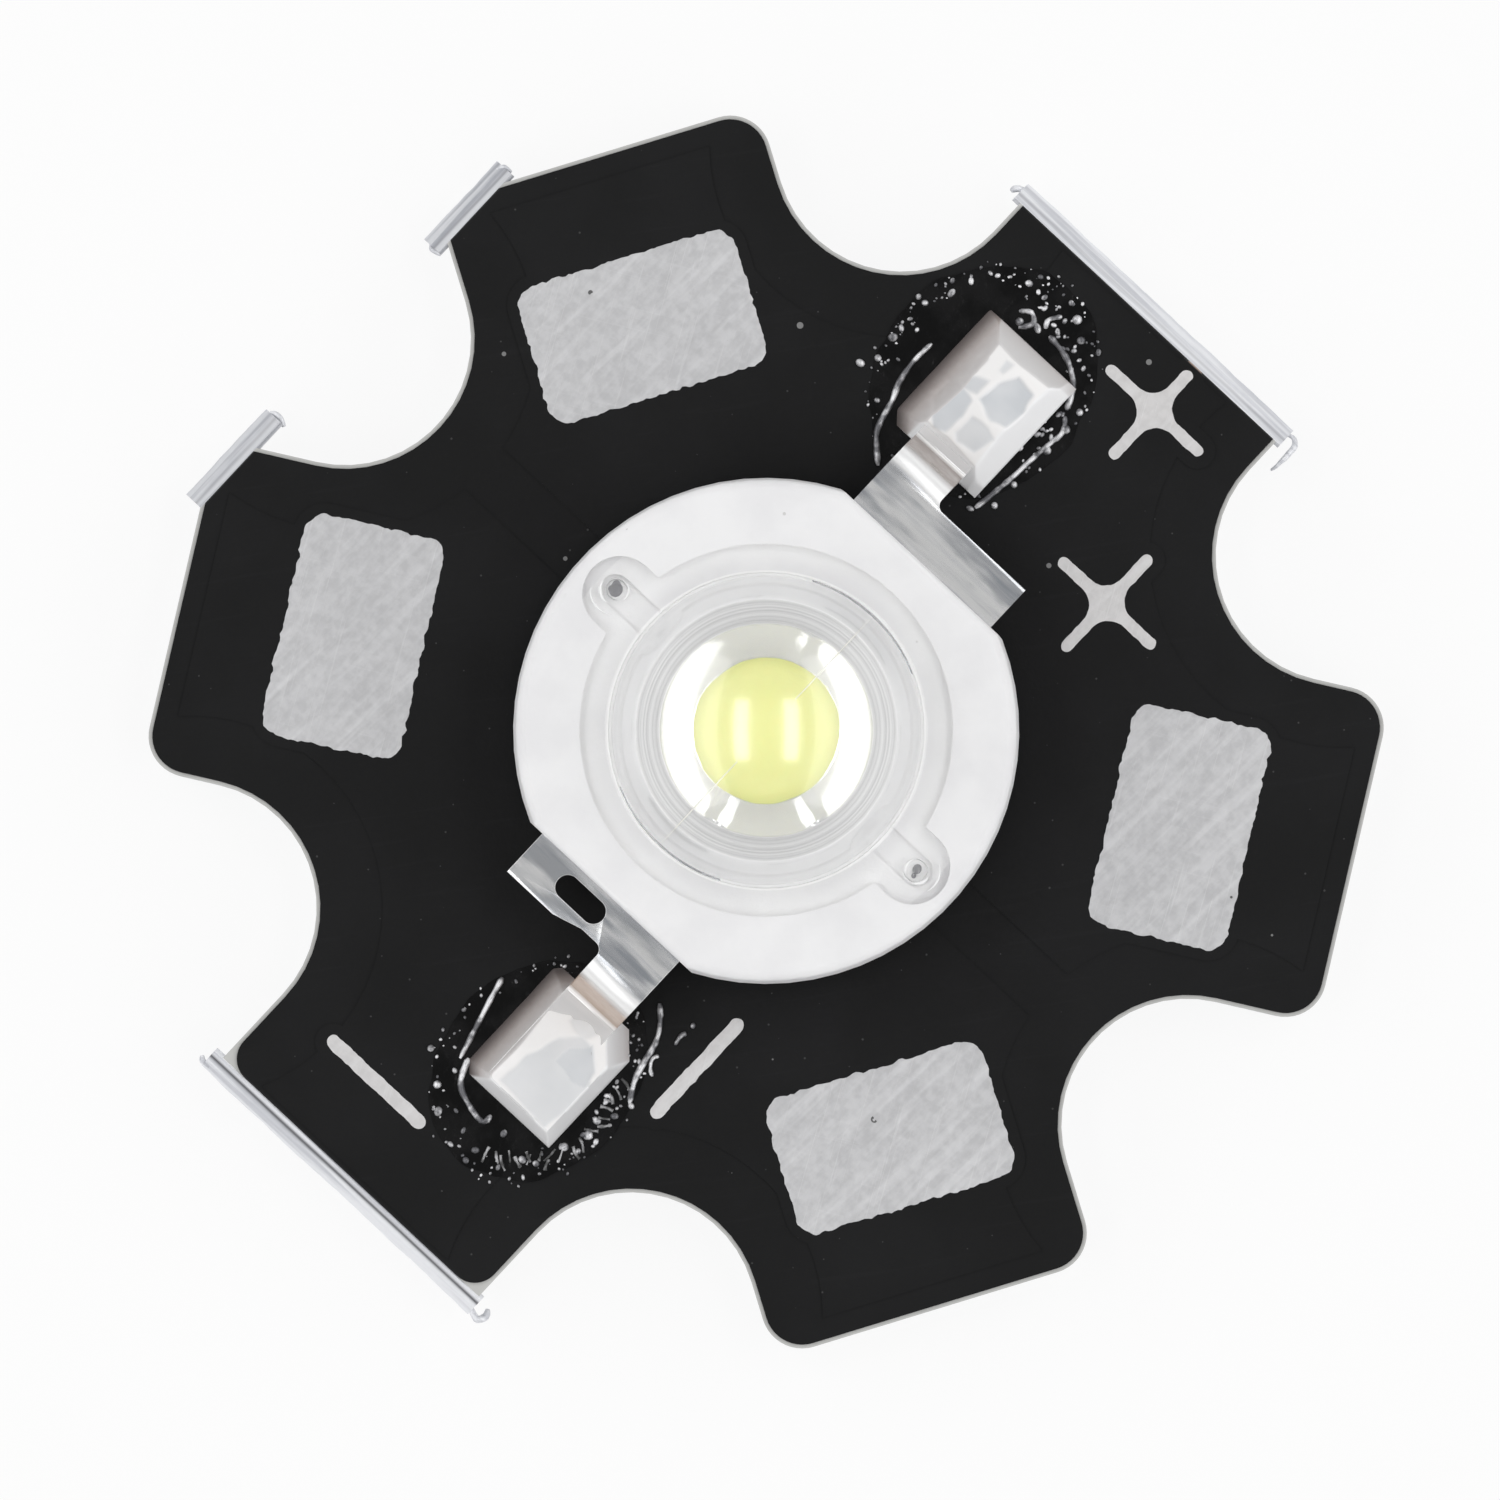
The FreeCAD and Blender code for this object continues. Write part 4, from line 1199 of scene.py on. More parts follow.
@dataclass
class Optic:
    """Slug with its cup, phosphor, and the clear dome over its gel."""

    paint: Paintbox
    dome_radius: float = 2.45
    root_fillet: float = 0.12
    flange_radius: float = 2.965
    flange_thickness: float = 0.25
    sink: float = 0.02
    cavity_floor: float = 2.20
    cup_floor: float = 0.78
    cup_rim: float = 1.17
    well: float = 0.25
    dish_bend: float = math.radians(8.5)
    dish_creases: Sequence[tuple[float, float]] = ((194.0, 0.034), (252.0, 0.034), (18.0, 0.016))
    crease_width: float = 0.14
    pedestal: float = 1.50
    rim_round: float = 0.03
    step: float = 2.20
    slug_chamfer: float = 0.15
    slug_flange: float = 0.90
    step_gap: float = 0.60
    ear_half_width: float = 0.615
    ear_reach: float = 3.765
    port_distance: float = 3.25
    port_radius: float = 0.25
    channel_depth: float = 0.12
    dimples: Sequence[tuple[int, Place]] = ((-1, (0.22, 0.19, 0.16)), (1, (0.19, 0.18, 0.26)))
    # Grey spots in the ports: painted shade
    port_shade_spots: Sequence[tuple[int, Sequence[Place]]] = (
        (-1, ((0.03, 0.02, 0.085), (-0.10, -0.02, 0.045))),
        (1, ((0.0, 0.0, 0.125), (0.09, 0.07, 0.075), (-0.05, 0.09, 0.05))))
    # White arcs round the ports: painted glints
    port_glint_arcs: Sequence[tuple[int, float, float, float, float]] = (
        (1, 0.24, 95.0, 190.0, 0.022), (1, 0.21, 255.0, 340.0, 0.018), (1, 0.40, 130.0, 215.0, 0.014),
        (-1, 0.19, 60.0, 150.0, 0.022), (-1, 0.20, 200.0, 285.0, 0.024), (-1, 0.36, 250.0, 330.0, 0.014))
    drop_share: float = 0.985
    wire_start: float = 0.33
    wire_radius: float = 0.0055
    frame_wire_radius: float = 0.02

    def build(self) -> None:
        """Build and dress the optic."""
        self.build_slug()
        self.build_phosphor()
        self.build_wires()
        self.build_plugs()
        self.build_dome()
        dress("led_die", self.paint.chip)
        dress("die_attach", self.paint.attach)

    def build_slug(self) -> None:
        """Turn the slug with its bright cup, which its press left a few soft creases in."""
        low, high = reach("heat_slug")
        step_top = reach("anode_lead")[1].z - self.step_gap
        cup_z = reach("phosphor_dab")[0].z
        flange_top = low.z + self.slug_flange
        rim = high.z
        edge = self.rim_round
        profile = [
            (0.0, low.z), (high.x - self.slug_chamfer, low.z), (high.x, low.z + self.slug_chamfer),
            (high.x, flange_top - edge), (high.x - edge, flange_top), (self.step, flange_top),
            (self.step, step_top), (self.pedestal, step_top), (self.pedestal, rim - edge),
            *arc((self.pedestal - edge, rim - edge), edge, 0, 90, 3),
            (self.cup_rim + 0.02, rim), *self.dish(rim, cup_z + self.well),
            (self.cup_floor, cup_z), (0.0, cup_z),
        ]
        bm = lathe(profile, 256)
        for vert in bm.verts:
            radius = vert.co.xy.length
            if self.cup_floor < radius + 0.001 < self.cup_rim and vert.co.z > cup_z + 0.01:
                vert.co.z += self.crease(vert.co.x, vert.co.y)
        finish_piece(bm, "silvered_slug", self.paint.slug, ("heat_slug",), 25.0)

    def crease(self, x: float, y: float) -> float:
        """Height of the creases that run down the dish.

        Args:
            x: Place along X.
            y: Place along Y.

        Returns:
            How far the dish is raised there.
        """
        rise = 0.0
        for angle, height in self.dish_creases:
            turn = math.radians(angle)
            across = abs(y * math.cos(turn) - x * math.sin(turn))
            ahead = x * math.cos(turn) + y * math.sin(turn)
            if ahead > 0 and across < self.crease_width:
                rise = max(rise, height * (1 - across / self.crease_width))
        return rise

    def dish(self, rim: float, well_top: float) -> list[Point]:
        """Hollow reflector between the cup's rim and its well, from the rim inwards.

        Args:
            rim: Height of its rim.
            well_top: Height of its inner edge.

        Returns:
            Points of (radius, height).
        """
        run = self.cup_rim - self.cup_floor
        drop = rim - well_top
        chord = math.hypot(run, drop)
        tilt = math.atan2(drop, run)
        radius = chord / (2 * math.sin(self.dish_bend))
        first = tilt + self.dish_bend
        last = tilt - self.dish_bend
        centre = (self.cup_rim - radius * math.sin(first), rim + radius * math.cos(first))
        turns = [first + (last - first) * i / 12 for i in range(13)]
        return [(centre[0] + radius * math.sin(t), centre[1] - radius * math.cos(t)) for t in turns]

    def build_phosphor(self) -> None:
        """Shape the phosphor as a slightly uneven drop."""
        low, high = reach("phosphor_dab")
        radius = high.x
        height = high.z - low.z
        sphere = (radius ** 2 + height ** 2) / (2 * height)
        start = math.degrees(math.asin((sphere - height) / sphere))
        profile = [(0.0, low.z - 0.004), (radius, low.z - 0.004),
                   *arc((0.0, high.z - sphere), sphere, start, 90.0, 20)]
        bm = lathe(profile, 96)
        for vert in bm.verts:
            spread = self.drop_share + 0.018 * wobble(vert.co, 2.4, 2.0) + 0.010 * wobble(vert.co, 7.0, 6.0)
            vert.co.xy *= spread
        finish_piece(bm, "phosphor_drop", self.paint.phosphor, ("phosphor_dab",), 40.0)

    def build_wires(self) -> None:
        """Lead one hair-thin gold wire from the chip over the rim of the cup to each lead."""
        bm = bmesh.new()
        start_z = reach("led_die")[1].z
        for side, node in ((1, "bond_wire_anode"), (-1, "bond_wire_cathode")):
            low, high = reach(node)
            end = max(abs(low.x), abs(high.x)) - self.frame_wire_radius
            top = high.z - self.frame_wire_radius
            places = ((self.wire_start, start_z), (self.wire_start + 0.02, top - 0.35),
                      (self.wire_start + 0.12, top - 0.23), (self.wire_start + 0.45, top - 0.17),
                      (end - 0.70, top - 0.15), (end - 0.44, top - 0.17), (end - 0.30, top - 0.25),
                      (end, low.z + 0.005))
            path = smooth_path([(side * x, 0.0, z) for x, z in places])
            add_thread(bm, path, [self.wire_radius] * len(path))
        nodes = ("bond_wire_anode", "bond_wire_cathode")
        finish_piece(bm, "bond_wires", self.paint.gold, nodes, 60.0)

    def build_plugs(self) -> None:
        """Put grey spots into the two filling ports as painted shade of the ports, and white arcs round them
        as painted glints on the gel's swollen edge.
        """
        shade_blots = bmesh.new()
        glint_arcs = bmesh.new()
        floor = reach("lens")[0].z
        for side, spots in self.port_shade_spots:
            for x, y, radius in spots:
                centre = Vector((x, side * self.port_distance + y, floor))
                add_bead(shade_blots, centre, (radius * 1.15, radius, 0.02), 25.0)
        top = floor + self.flange_thickness
        for side, radius, start, end, width in self.port_glint_arcs:
            ring = arc((0.0, side * self.port_distance), radius, start, end, 8)
            path = [Vector((x, y, top + 0.004)) for x, y in ring]
            add_thread(glint_arcs, path, [width * (0.25 + math.sin(math.pi * i / 8)) for i in range(9)])
        # Grey spots as painted shade and white arcs as painted glints
        finish_piece(shade_blots, "painted_port_shade", self.paint.haze, crease=60.0)
        finish_piece(glint_arcs, "painted_port_glints", self.paint.rim, crease=60.0)

    def dome_profile(self) -> list[Point]:
        """Profile of the dome, its flange and the gel below them.

        Returns:
            Points of (radius, height).
        """
        low, high = reach("lens")
        flange_top = low.z + self.flange_thickness
        rise = high.z - flange_top
        sphere = (self.dome_radius ** 2 + rise ** 2) / (2 * rise)
        middle = high.z - sphere
        fillet_z = flange_top + self.root_fillet
        fillet_r = math.sqrt((sphere + self.root_fillet) ** 2 - (fillet_z - middle) ** 2)
        tangent = math.degrees(math.atan2(fillet_z - middle, fillet_r))
        floor = reach("silicone_fill")[0].z
        return [
            *arc((0.0, middle), sphere, 90.0, tangent, 48),
            *arc((fillet_r, fillet_z), self.root_fillet, 180.0 + tangent, 270.0, 8),
            (self.flange_radius - 0.03, flange_top),
            (self.flange_radius, flange_top - 0.03),
            (self.flange_radius, low.z - self.sink),
            (self.dome_radius + self.sink, low.z - self.sink),
            (self.cavity_floor + self.sink, floor - self.sink),
            (0.0, floor - self.sink),
        ]

    def ear_block(self, half_width: float, ends: float, low: float, high: float) -> Mesh:
        """Bar along Y with round ends.

        Args:
            half_width: Half its width, which is also the radius of its ends.
            ends: Distance of its tips from the middle.
            low: Its underside.
            high: Its top.

        Returns:
            The closed bar.
        """
        bm = bmesh.new()
        made = bmesh.ops.create_circle(bm, cap_ends=True, segments=64, radius=half_width,
                                       matrix=Matrix.Translation((0, 0, low)))
        for vert in made["verts"]:
            vert.co.y += math.copysign(ends - half_width, vert.co.y)
        thicken(bm, (0, 0, high - low))
        return bm

    def build_dome(self) -> None:
        """Build dome, flange, ears and gel as one clear solid, with a dimple in each filling port."""
        low = reach("lens")[0]
        top = low.z + self.flange_thickness
        bm = lathe(self.dome_profile(), 160)
        ears = self.ear_block(self.ear_half_width, self.ear_reach, low.z - self.sink, top - 0.002)
        bm = combined(bm, ears, "UNION")
        width = self.port_radius + self.sink
        channel = self.ear_block(width, self.port_distance + width, low.z - self.channel_depth - self.sink,
                                 low.z + 0.05)
        bm = combined(bm, channel, "UNION")
        for side, radii in self.dimples:
            dimple = bmesh.new()
            place = Matrix.Translation((0.02 * side, side * self.port_distance, top + 0.01))
            bmesh.ops.create_uvsphere(dimple, u_segments=32, v_segments=16, radius=1.0,
                                      matrix=place @ Matrix.Diagonal((*radii, 1.0)))
            bm = combined(bm, dimple, "DIFFERENCE")
        bmesh.ops.remove_doubles(bm, verts=bm.verts, dist=WELD)
        bmesh.ops.recalc_face_normals(bm, faces=bm.faces)
        nodes = ("lens", "silicone_fill")
        finish_piece(bm, "clear_dome_and_gel", self.paint.clear, nodes, 30.0)


@dataclass
class Package:
    """White body, its two leads and the paste under its slug."""

    paint: Paintbox
    lead_edge: float = 0.085

    def build(self) -> None:
        """Build and dress the package."""
        dress("emitter_body", self.paint.moulding)
        dress("thermal_compound", self.paint.compound)
        for node, finish in (("anode_lead", self.paint.lead), ("cathode_lead", self.paint.lead_brown)):
            bm = frame_copy(node)
            soften(bm, self.lead_edge, 30.0, 3)
            finish_piece(bm, node + "_plated", finish, (node,), 40.0, level=True)


@dataclass
class JointForm:
    """Shape of one solder joint and of the flux round it, in millimetres on the board.

    A facet is a place, a height there, and the rise per millimetre along X and Y. A cell is how grey it is
    and its corners, anticlockwise. An oval is its centre and two radii. A thread is its radius and its
    points. A bead is its centre and radius. Wrinkles and lumps are two angles of the oval and a number.
    """

    name: str
    node: str
    low: Point
    high: Point
    facets: Sequence[tuple[float, float, float, float, float]]
    cells: Sequence[tuple[float, Sequence[Point]]]
    oval: tuple[float, float, float, float]
    threads: Sequence[tuple[float, Sequence[Point]]]
    beads: Sequence[Place]
    wrinkles: tuple[float, float, int]
    lumps: tuple[float, float, int]
    seed: int = 0


ANODE_JOINT = JointForm(
    name="anode", node="solder_joint_anode", low=(4.97, 0.11), high=(7.33, 1.98),
    facets=(
        (6.12, 1.97, 1.66, 0.0, -1.15), (6.12, 0.12, 1.9, 0.0, 0.9), (7.33, 1.05, 1.86, -1.1, 0.0),
        (4.98, 1.05, 1.88, 0.9, 0.0), (5.16, 1.86, 1.76, 0.85, -0.95), (7.22, 1.86, 1.84, -0.9, -0.9),
        (7.24, 0.24, 1.92, -0.9, 0.9), (5.06, 0.22, 1.9, 0.75, 0.9), (6.12, 1.15, 2.31, 0.09, 0.07),
        (6.12, 1.15, 2.31, -0.07, 0.1), (6.12, 1.15, 2.31, -0.08, -0.1), (6.12, 1.15, 2.31, 0.1, -0.09),
    ),
    cells=(
        (0.9, ((5.29, 1.33), (5.41, 1.16), (5.77, 1.11), (6.06, 1.18), (6.12, 1.42), (6.03, 1.68),
               (5.71, 1.73))),
        (1.0, ((6.02, 0.76), (6.11, 0.5), (6.45, 0.45), (6.79, 0.54), (6.84, 0.9), (6.53, 1.07),
               (6.15, 1.12))),
        (0.7, ((5.49, 0.61), (5.85, 0.51), (5.92, 0.7), (5.87, 1.01), (5.51, 1.04), (5.4, 0.93))),
        (0.75, ((6.2, 1.21), (6.48, 1.2), (6.39, 1.43), (6.2, 1.59), (6.12, 1.42))),
        (0.6, ((6.47, 1.51), (6.73, 1.45), (6.76, 1.55), (6.52, 1.63))),
        (0.6, ((6.71, 1.13), (6.93, 1.09), (6.89, 1.21), (6.7, 1.21))),
    ),
    oval=(6.42, 1.28, 2.0, 1.68),
    threads=(
        (0.050, ((4.3, 1.58), (4.52, 1.82), (4.75, 2.0), (5.2, 2.12), (5.5, 2.24), (5.9, 2.3),
                 (6.3, 2.28))),
        (0.055, ((6.98, 0.0), (7.22, 0.1), (7.42, 0.27), (7.6, 0.6), (7.66, 1.0))),
        (0.045, ((7.7, 1.12), (7.84, 1.18), (8.02, 1.06))),
        (0.048, ((4.86, 0.0), (5.2, -0.05), (5.6, -0.1), (6.0, -0.13), (6.39, -0.17), (6.68, -0.2),
                 (6.9, -0.06))),
        (0.045, ((7.42, 1.45), (7.62, 1.32), (7.74, 1.46), (7.62, 1.62))),
    ),
    beads=(
        (5.3, 2.9, 0.08), (5.55, 2.75, 0.06), (5.05, 2.3, 0.05), (5.75, 2.5, 0.04), (5.95, 2.8, 0.08),
        (6.15, 2.8, 0.07), (6.35, 2.8, 0.05), (6.3, 2.6, 0.04), (6.7, 2.94, 0.05), (6.7, 2.8, 0.06),
        (7.1, 2.6, 0.08), (7.25, 2.72, 0.05), (7.45, 2.5, 0.07), (7.75, 2.36, 0.05), (7.8, 2.25, 0.05),
        (8.05, 1.8, 0.07), (8.25, 1.74, 0.05), (8.05, 1.6, 0.05), (8.15, 0.85, 0.08), (7.95, 0.58, 0.07),
        (8.0, 0.25, 0.06), (7.65, 0.25, 0.05), (5.1, -0.2, 0.06), (5.55, -0.2, 0.06), (6.3, -0.22, 0.07),
        (6.5, -0.12, 0.06), (6.75, -0.2, 0.08), (7.1, -0.18, 0.06), (4.8, 0.05, 0.07), (8.28, 1.1, 0.05),
        (7.62, 1.22, 0.09), (7.5, 1.5, 0.07), (7.8, 0.95, 0.06),
    ),
    wrinkles=(-100.0, -20.0, 0), lumps=(-140.0, 20.0, 46), seed=11)

CATHODE_JOINT = JointForm(
    name="cathode", node="solder_joint_cathode", low=(-7.18, -1.98), high=(-4.94, -0.09),
    facets=(
        (-6.2, -0.1, 1.66, 0.0, -1.3), (-6.2, -1.96, 1.72, 0.0, 2.6), (-7.17, -1.0, 1.72, 2.8, 0.0),
        (-4.94, -1.0, 1.9, -0.9, 0.0), (-5.34, -1.74, 1.92, -0.95, 1.0), (-7.08, -0.22, 1.72, 1.1, -1.1),
        (-5.02, -0.22, 1.74, -0.8, -0.9), (-7.14, -1.92, 1.9, 1.6, 1.6), (-6.27, -1.1, 2.26, 0.06, -0.05),
        (-6.27, -1.1, 2.26, -0.1, -0.07), (-6.27, -1.1, 2.26, -0.09, 0.09),
        (-6.27, -1.1, 2.26, 0.05, 0.08),
    ),
    cells=(
        (0.64, ((-7.01, -1.72), (-6.05, -1.83), (-5.54, -1.44), (-5.52, -1.16), (-5.79, -0.92),
                (-6.34, -0.73), (-6.91, -0.69))),
        (0.95, ((-6.17, -1.52), (-6.09, -1.76), (-5.8, -1.7), (-5.51, -1.39), (-5.8, -1.13),
                (-6.12, -1.1))),
        (0.4, ((-5.58, -1.21), (-5.3, -1.36), (-5.12, -1.07), (-5.15, -0.81), (-5.49, -0.84))),
    ),
    oval=(-6.4, -1.02, 1.92, 1.56),
    threads=(
        (0.052, ((-7.1, 0.02), (-6.6, 0.16), (-6.1, 0.3), (-5.7, 0.4))),
        (0.055, ((-7.0, -0.08), (-7.3, -0.2), (-7.48, -0.4), (-7.6, -0.9), (-7.42, -0.96))),
        (0.050, ((-5.8, -2.44), (-5.4, -2.22), (-4.8, -2.08), (-4.5, -1.9), (-4.3, -1.7))),
        (0.040, ((-4.62, -2.33), (-4.45, -2.3), (-4.36, -2.34))),
        (0.035, ((-5.22, -2.36), (-5.05, -2.22), (-4.92, -2.26))),
    ),
    beads=(
        (-7.3, 0.47, 0.06), (-7.65, 0.0, 0.07), (-7.3, -0.05, 0.05), (-7.95, -0.3, 0.08),
        (-7.75, -0.5, 0.05), (-8.2, -0.8, 0.06), (-7.9, -0.8, 0.06), (-8.22, -1.15, 0.06),
        (-8.0, -1.15, 0.07), (-7.5, -1.3, 0.07), (-7.6, -1.8, 0.07), (-7.5, -2.0, 0.06),
        (-7.0, -2.15, 0.07), (-6.6, -2.3, 0.08), (-6.35, -2.25, 0.07), (-6.6, -2.46, 0.06),
        (-6.1, -2.4, 0.07), (-5.8, -2.48, 0.06), (-4.2, -2.33, 0.05), (-5.2, -2.36, 0.06),
        (-6.9, -2.36, 0.05), (-7.95, -1.6, 0.06), (-7.8, -2.0, 0.05), (-6.5, 0.5, 0.04),
        (-5.6, 0.2, 0.04), (-5.2, -2.1, 0.05),
    ),
    wrinkles=(-168.0, -58.0, 21), lumps=(-150.0, -40.0, 16), seed=23)


@dataclass
class SolderWork:
    """Both solder joints with the flux, beads and threads that reflow left round them."""

    paint: Paintbox
    grid_step: float = 0.028
    facet_softness: float = 0.010
    cell_depth: float = 0.020
    cell_softness: float = 0.075
    loose_beads: int = 120
    loose_rings: Sequence[float] = (0.86, 0.92, 0.96, 1.0)
    heap_rim: float = 0.012
    film_widths: Sequence[float] = (0.02, 0.04, 0.06, 0.10, 0.3)
    film_heights: Sequence[float] = (0.004, 0.016, 0.030, 0.020, 0.010, 0.012)
    film_sink: float = 0.03

    def build(self) -> None:
        """Build both joints."""
        for form in (ANODE_JOINT, CATHODE_JOINT):
            self.build_heap(form)
            self.build_flux(form)
            self.build_spatter(form)

    def heap_height(self, form: JointForm, x: float, y: float) -> tuple[float, float]:
        """Form of the solder over one place: its lowest facet, softened, and the cells sunk in it.

        Args:
            form: The joint.
            x: Place along X.
            y: Place along Y.

        Returns:
            The height, and how grey the solder is, from nothing to one.
        """
        soft = self.facet_softness
        heights = [z + gx * (x - fx) + gy * (y - fy) for fx, fy, z, gx, gy in form.facets]
        lowest = min(heights)
        height = lowest - soft * math.log(sum(math.exp((lowest - h) / soft) for h in heights))
        cell = self.cell_share(form, x, y)
        uneven = 0.007 * wobble(Vector((x, y, 0)), 2.4, form.seed) + 0.0015 * wobble(Vector((x, y, 1)), 7.0)
        return height - self.cell_depth * cell + uneven, cell

    def cell_share(self, form: JointForm, x: float, y: float) -> float:
        """How grey the crown is: its cells have soft, slightly uneven borders.

        Args:
            form: The joint.
            x: Place along X.
            y: Place along Y.

        Returns:
            The greyness, from nothing to one.
        """
        drift = 0.030 * wobble(Vector((x, y, form.seed)), 4.0)
        share = 0.0
        for tone, corners in form.cells:
            inside = min(self.side(x, y, a, b) for a, b in zip(corners, (*corners[1:], corners[0])))
            step = min(1.0, max(0.0, 0.5 + (inside + drift) / self.cell_softness))
            share = max(share, tone * step * step * (3 - 2 * step))
        return share

    def side(self, x: float, y: float, a: Point, b: Point) -> float:
        """Distance of a place from the line through two others, positive on its left."""
        run = (b[0] - a[0], b[1] - a[1])
        return (run[0] * (y - a[1]) - run[1] * (x - a[0])) / math.hypot(*run)

    def build_heap(self, form: JointForm) -> None:
        """Raise the facets and cells of a joint from a fine grid.

        Args:
            form: The joint.
        """
        floor = reach(form.node)[0].z
        low = Vector((*form.low, 0.0))
        high = Vector((*form.high, 0.0))
        size = high - low
        columns, rows = (round(length / self.grid_step) for length in size.xy)
        place = Matrix.Translation((low + high) / 2) @ Matrix.Diagonal((*size.xy, 1, 1))
        bm = bmesh.new()
        bmesh.ops.create_grid(bm, x_segments=columns, y_segments=rows, size=0.5, matrix=place)
        layer = bm.verts.layers.float.new("cell")
        for vert in bm.verts:
            height, cell = self.heap_height(form, vert.co.x, vert.co.y)
            vert.co.z = max(height, floor + self.heap_rim)
            vert[layer] = cell
        thicken(bm, floor=floor)
        finish_piece(bm, "solder_heap_" + form.name, self.paint.solder, (form.node,), 50.0)

    def on_oval(self, form: JointForm, angle: float, share: float, rise: float) -> Vector:
        """Place over the lacquer, on an oval like the flux's.

        Args:
            form: The joint.
            angle: Angle from +X, in degrees.
            share: Size of the oval as a share of the flux's.
            rise: Height over the lacquer.

        Returns:
            The place.
        """
        x, y, long_radius, short_radius = form.oval
        turn = math.radians(angle)
        top = reach("solder_mask")[1].z
        return Vector((x + share * long_radius * math.cos(turn),
                       y + share * short_radius * math.sin(turn), top + rise))

    def build_flux(self, form: JointForm) -> None:
        """Spread a film of flux with a swollen, uneven rim.

        Args:
            form: The joint.
        """
        top = reach("solder_mask")[1].z
        x, y, long_radius, short_radius = form.oval
        bm = bmesh.new()
        bmesh.ops.create_circle(bm, cap_ends=True, segments=200, radius=1.0)
        levels = [bm.verts[:]]
        for width in self.film_widths:
            face = max(bm.faces, key=lambda f: len(f.verts))
            bmesh.ops.inset_region(bm, faces=[face], thickness=width, use_even_offset=True)
            levels.append(list(max(bm.faces, key=lambda f: len(f.verts)).verts))
        for level, height in zip(levels, self.film_heights):
            for vert in level:
                vert.co.z = height
        for vert in bm.verts:
            around = Vector((vert.co.x, vert.co.y, form.seed))
            swell = 1 + 0.045 * wobble(around, 2.2) + 0.025 * wobble(around, 5.0, 3.0)
            swell += 0.006 * wobble(around, 11.0)
            vert.co.x = x + vert.co.x * long_radius * swell
            vert.co.y = y + vert.co.y * short_radius * swell
            vert.co.z *= 1 + 0.6 * wobble(vert.co, 2.8, 7.0) + 0.5 * wobble(vert.co, 8.0, 2.0)
            vert.co.z += top
        thicken(bm, floor=top - self.film_sink)
        finish_piece(bm, "flux_film_" + form.name, self.paint.flux, crease=60.0)

    def build_spatter(self, form: JointForm) -> None:
        """Build the beads, threads and wrinkles in the flux.

        Args:
            form: The joint.
        """
        top = reach("solder_mask")[1].z
        draw = random.Random(form.seed)
        bm = bmesh.new()
        for x, y, radius in form.beads:
            width = radius * draw.uniform(0.6, 1.0)
            add_bead(bm, Vector((x, y, top + 0.015)), (radius, width, width * 0.8), draw.uniform(0, 180))
        for _ in range(self.loose_beads):
            angle = draw.uniform(0, 360)
            share = draw.choice(self.loose_rings) * draw.uniform(0.96, 1.04)
            radius = draw.uniform(0.012, 0.036)
            radii = (radius, radius * 0.8, radius * 0.7)
            add_bead(bm, self.on_oval(form, angle, share, 0.010), radii, draw.uniform(0, 180))
        start, end, count = form.lumps
        for _ in range(count):
            spot = self.on_oval(form, draw.uniform(start, end), draw.uniform(0.70, 0.84), 0.014)
            radius = draw.uniform(0.022, 0.062)
            add_bead(bm, spot, (radius, radius * 0.7, radius * 0.7), draw.uniform(0, 180))
        # Threads of solder along the flux's rim; drawn bright, they also stand in for the reflection lines
        # on the flux's meniscus
        for radius, points in form.threads:
            path = smooth_path([(px, py, top + 0.02) for px, py in points], 4)
            radii = [radius * draw.uniform(0.75, 1.10) for _ in path]
            radii[0] *= 0.5
            radii[-1] *= 0.5
            add_thread(bm, path, radii)
        finish_piece(bm, "spatter_" + form.name, self.paint.spatter, crease=60.0)
        if form.wrinkles[2]:
            self.build_wrinkles(form, draw)

    def build_wrinkles(self, form: JointForm, draw: random.Random) -> None:
        """Build the short smeared strands at the rim of the flux.

        Args:
            form: The joint.
            draw: Source of chance.
        """
        bm = bmesh.new()
        start, end, count = form.wrinkles
        for index in range(count):
            angle = start + (end - start) * index / (count - 1) + draw.uniform(-1.2, 1.2)
            inner = draw.uniform(0.72, 0.84)
            lean = 2.4 * math.sin(index * 0.55) + draw.uniform(-0.6, 0.6)
            curl = draw.uniform(-0.8, 0.8)
            length = draw.uniform(0.03, 0.08)
            ends = [self.on_oval(form, angle + lean * step + curl * step ** 2, inner + length * step, 0.018)
                    for step in range(3)]
            path = smooth_path(ends, 3)
            width = draw.uniform(0.022, 0.042)
            add_thread(bm, path, [width * draw.uniform(0.5, 1.0) for _ in path])
        finish_piece(bm, "smears_" + form.name, self.paint.smear, crease=60.0)


# Studio

@dataclass(frozen=True)
class Lamp:
    """Soft lamp that hangs on both sides of the part and looks at it.

    Its tilt is counted from straight above, in degrees, and a level of 1 makes its face white.
    """

    name: str
    tilt: float
    distance: float
    size: Point
    level: float


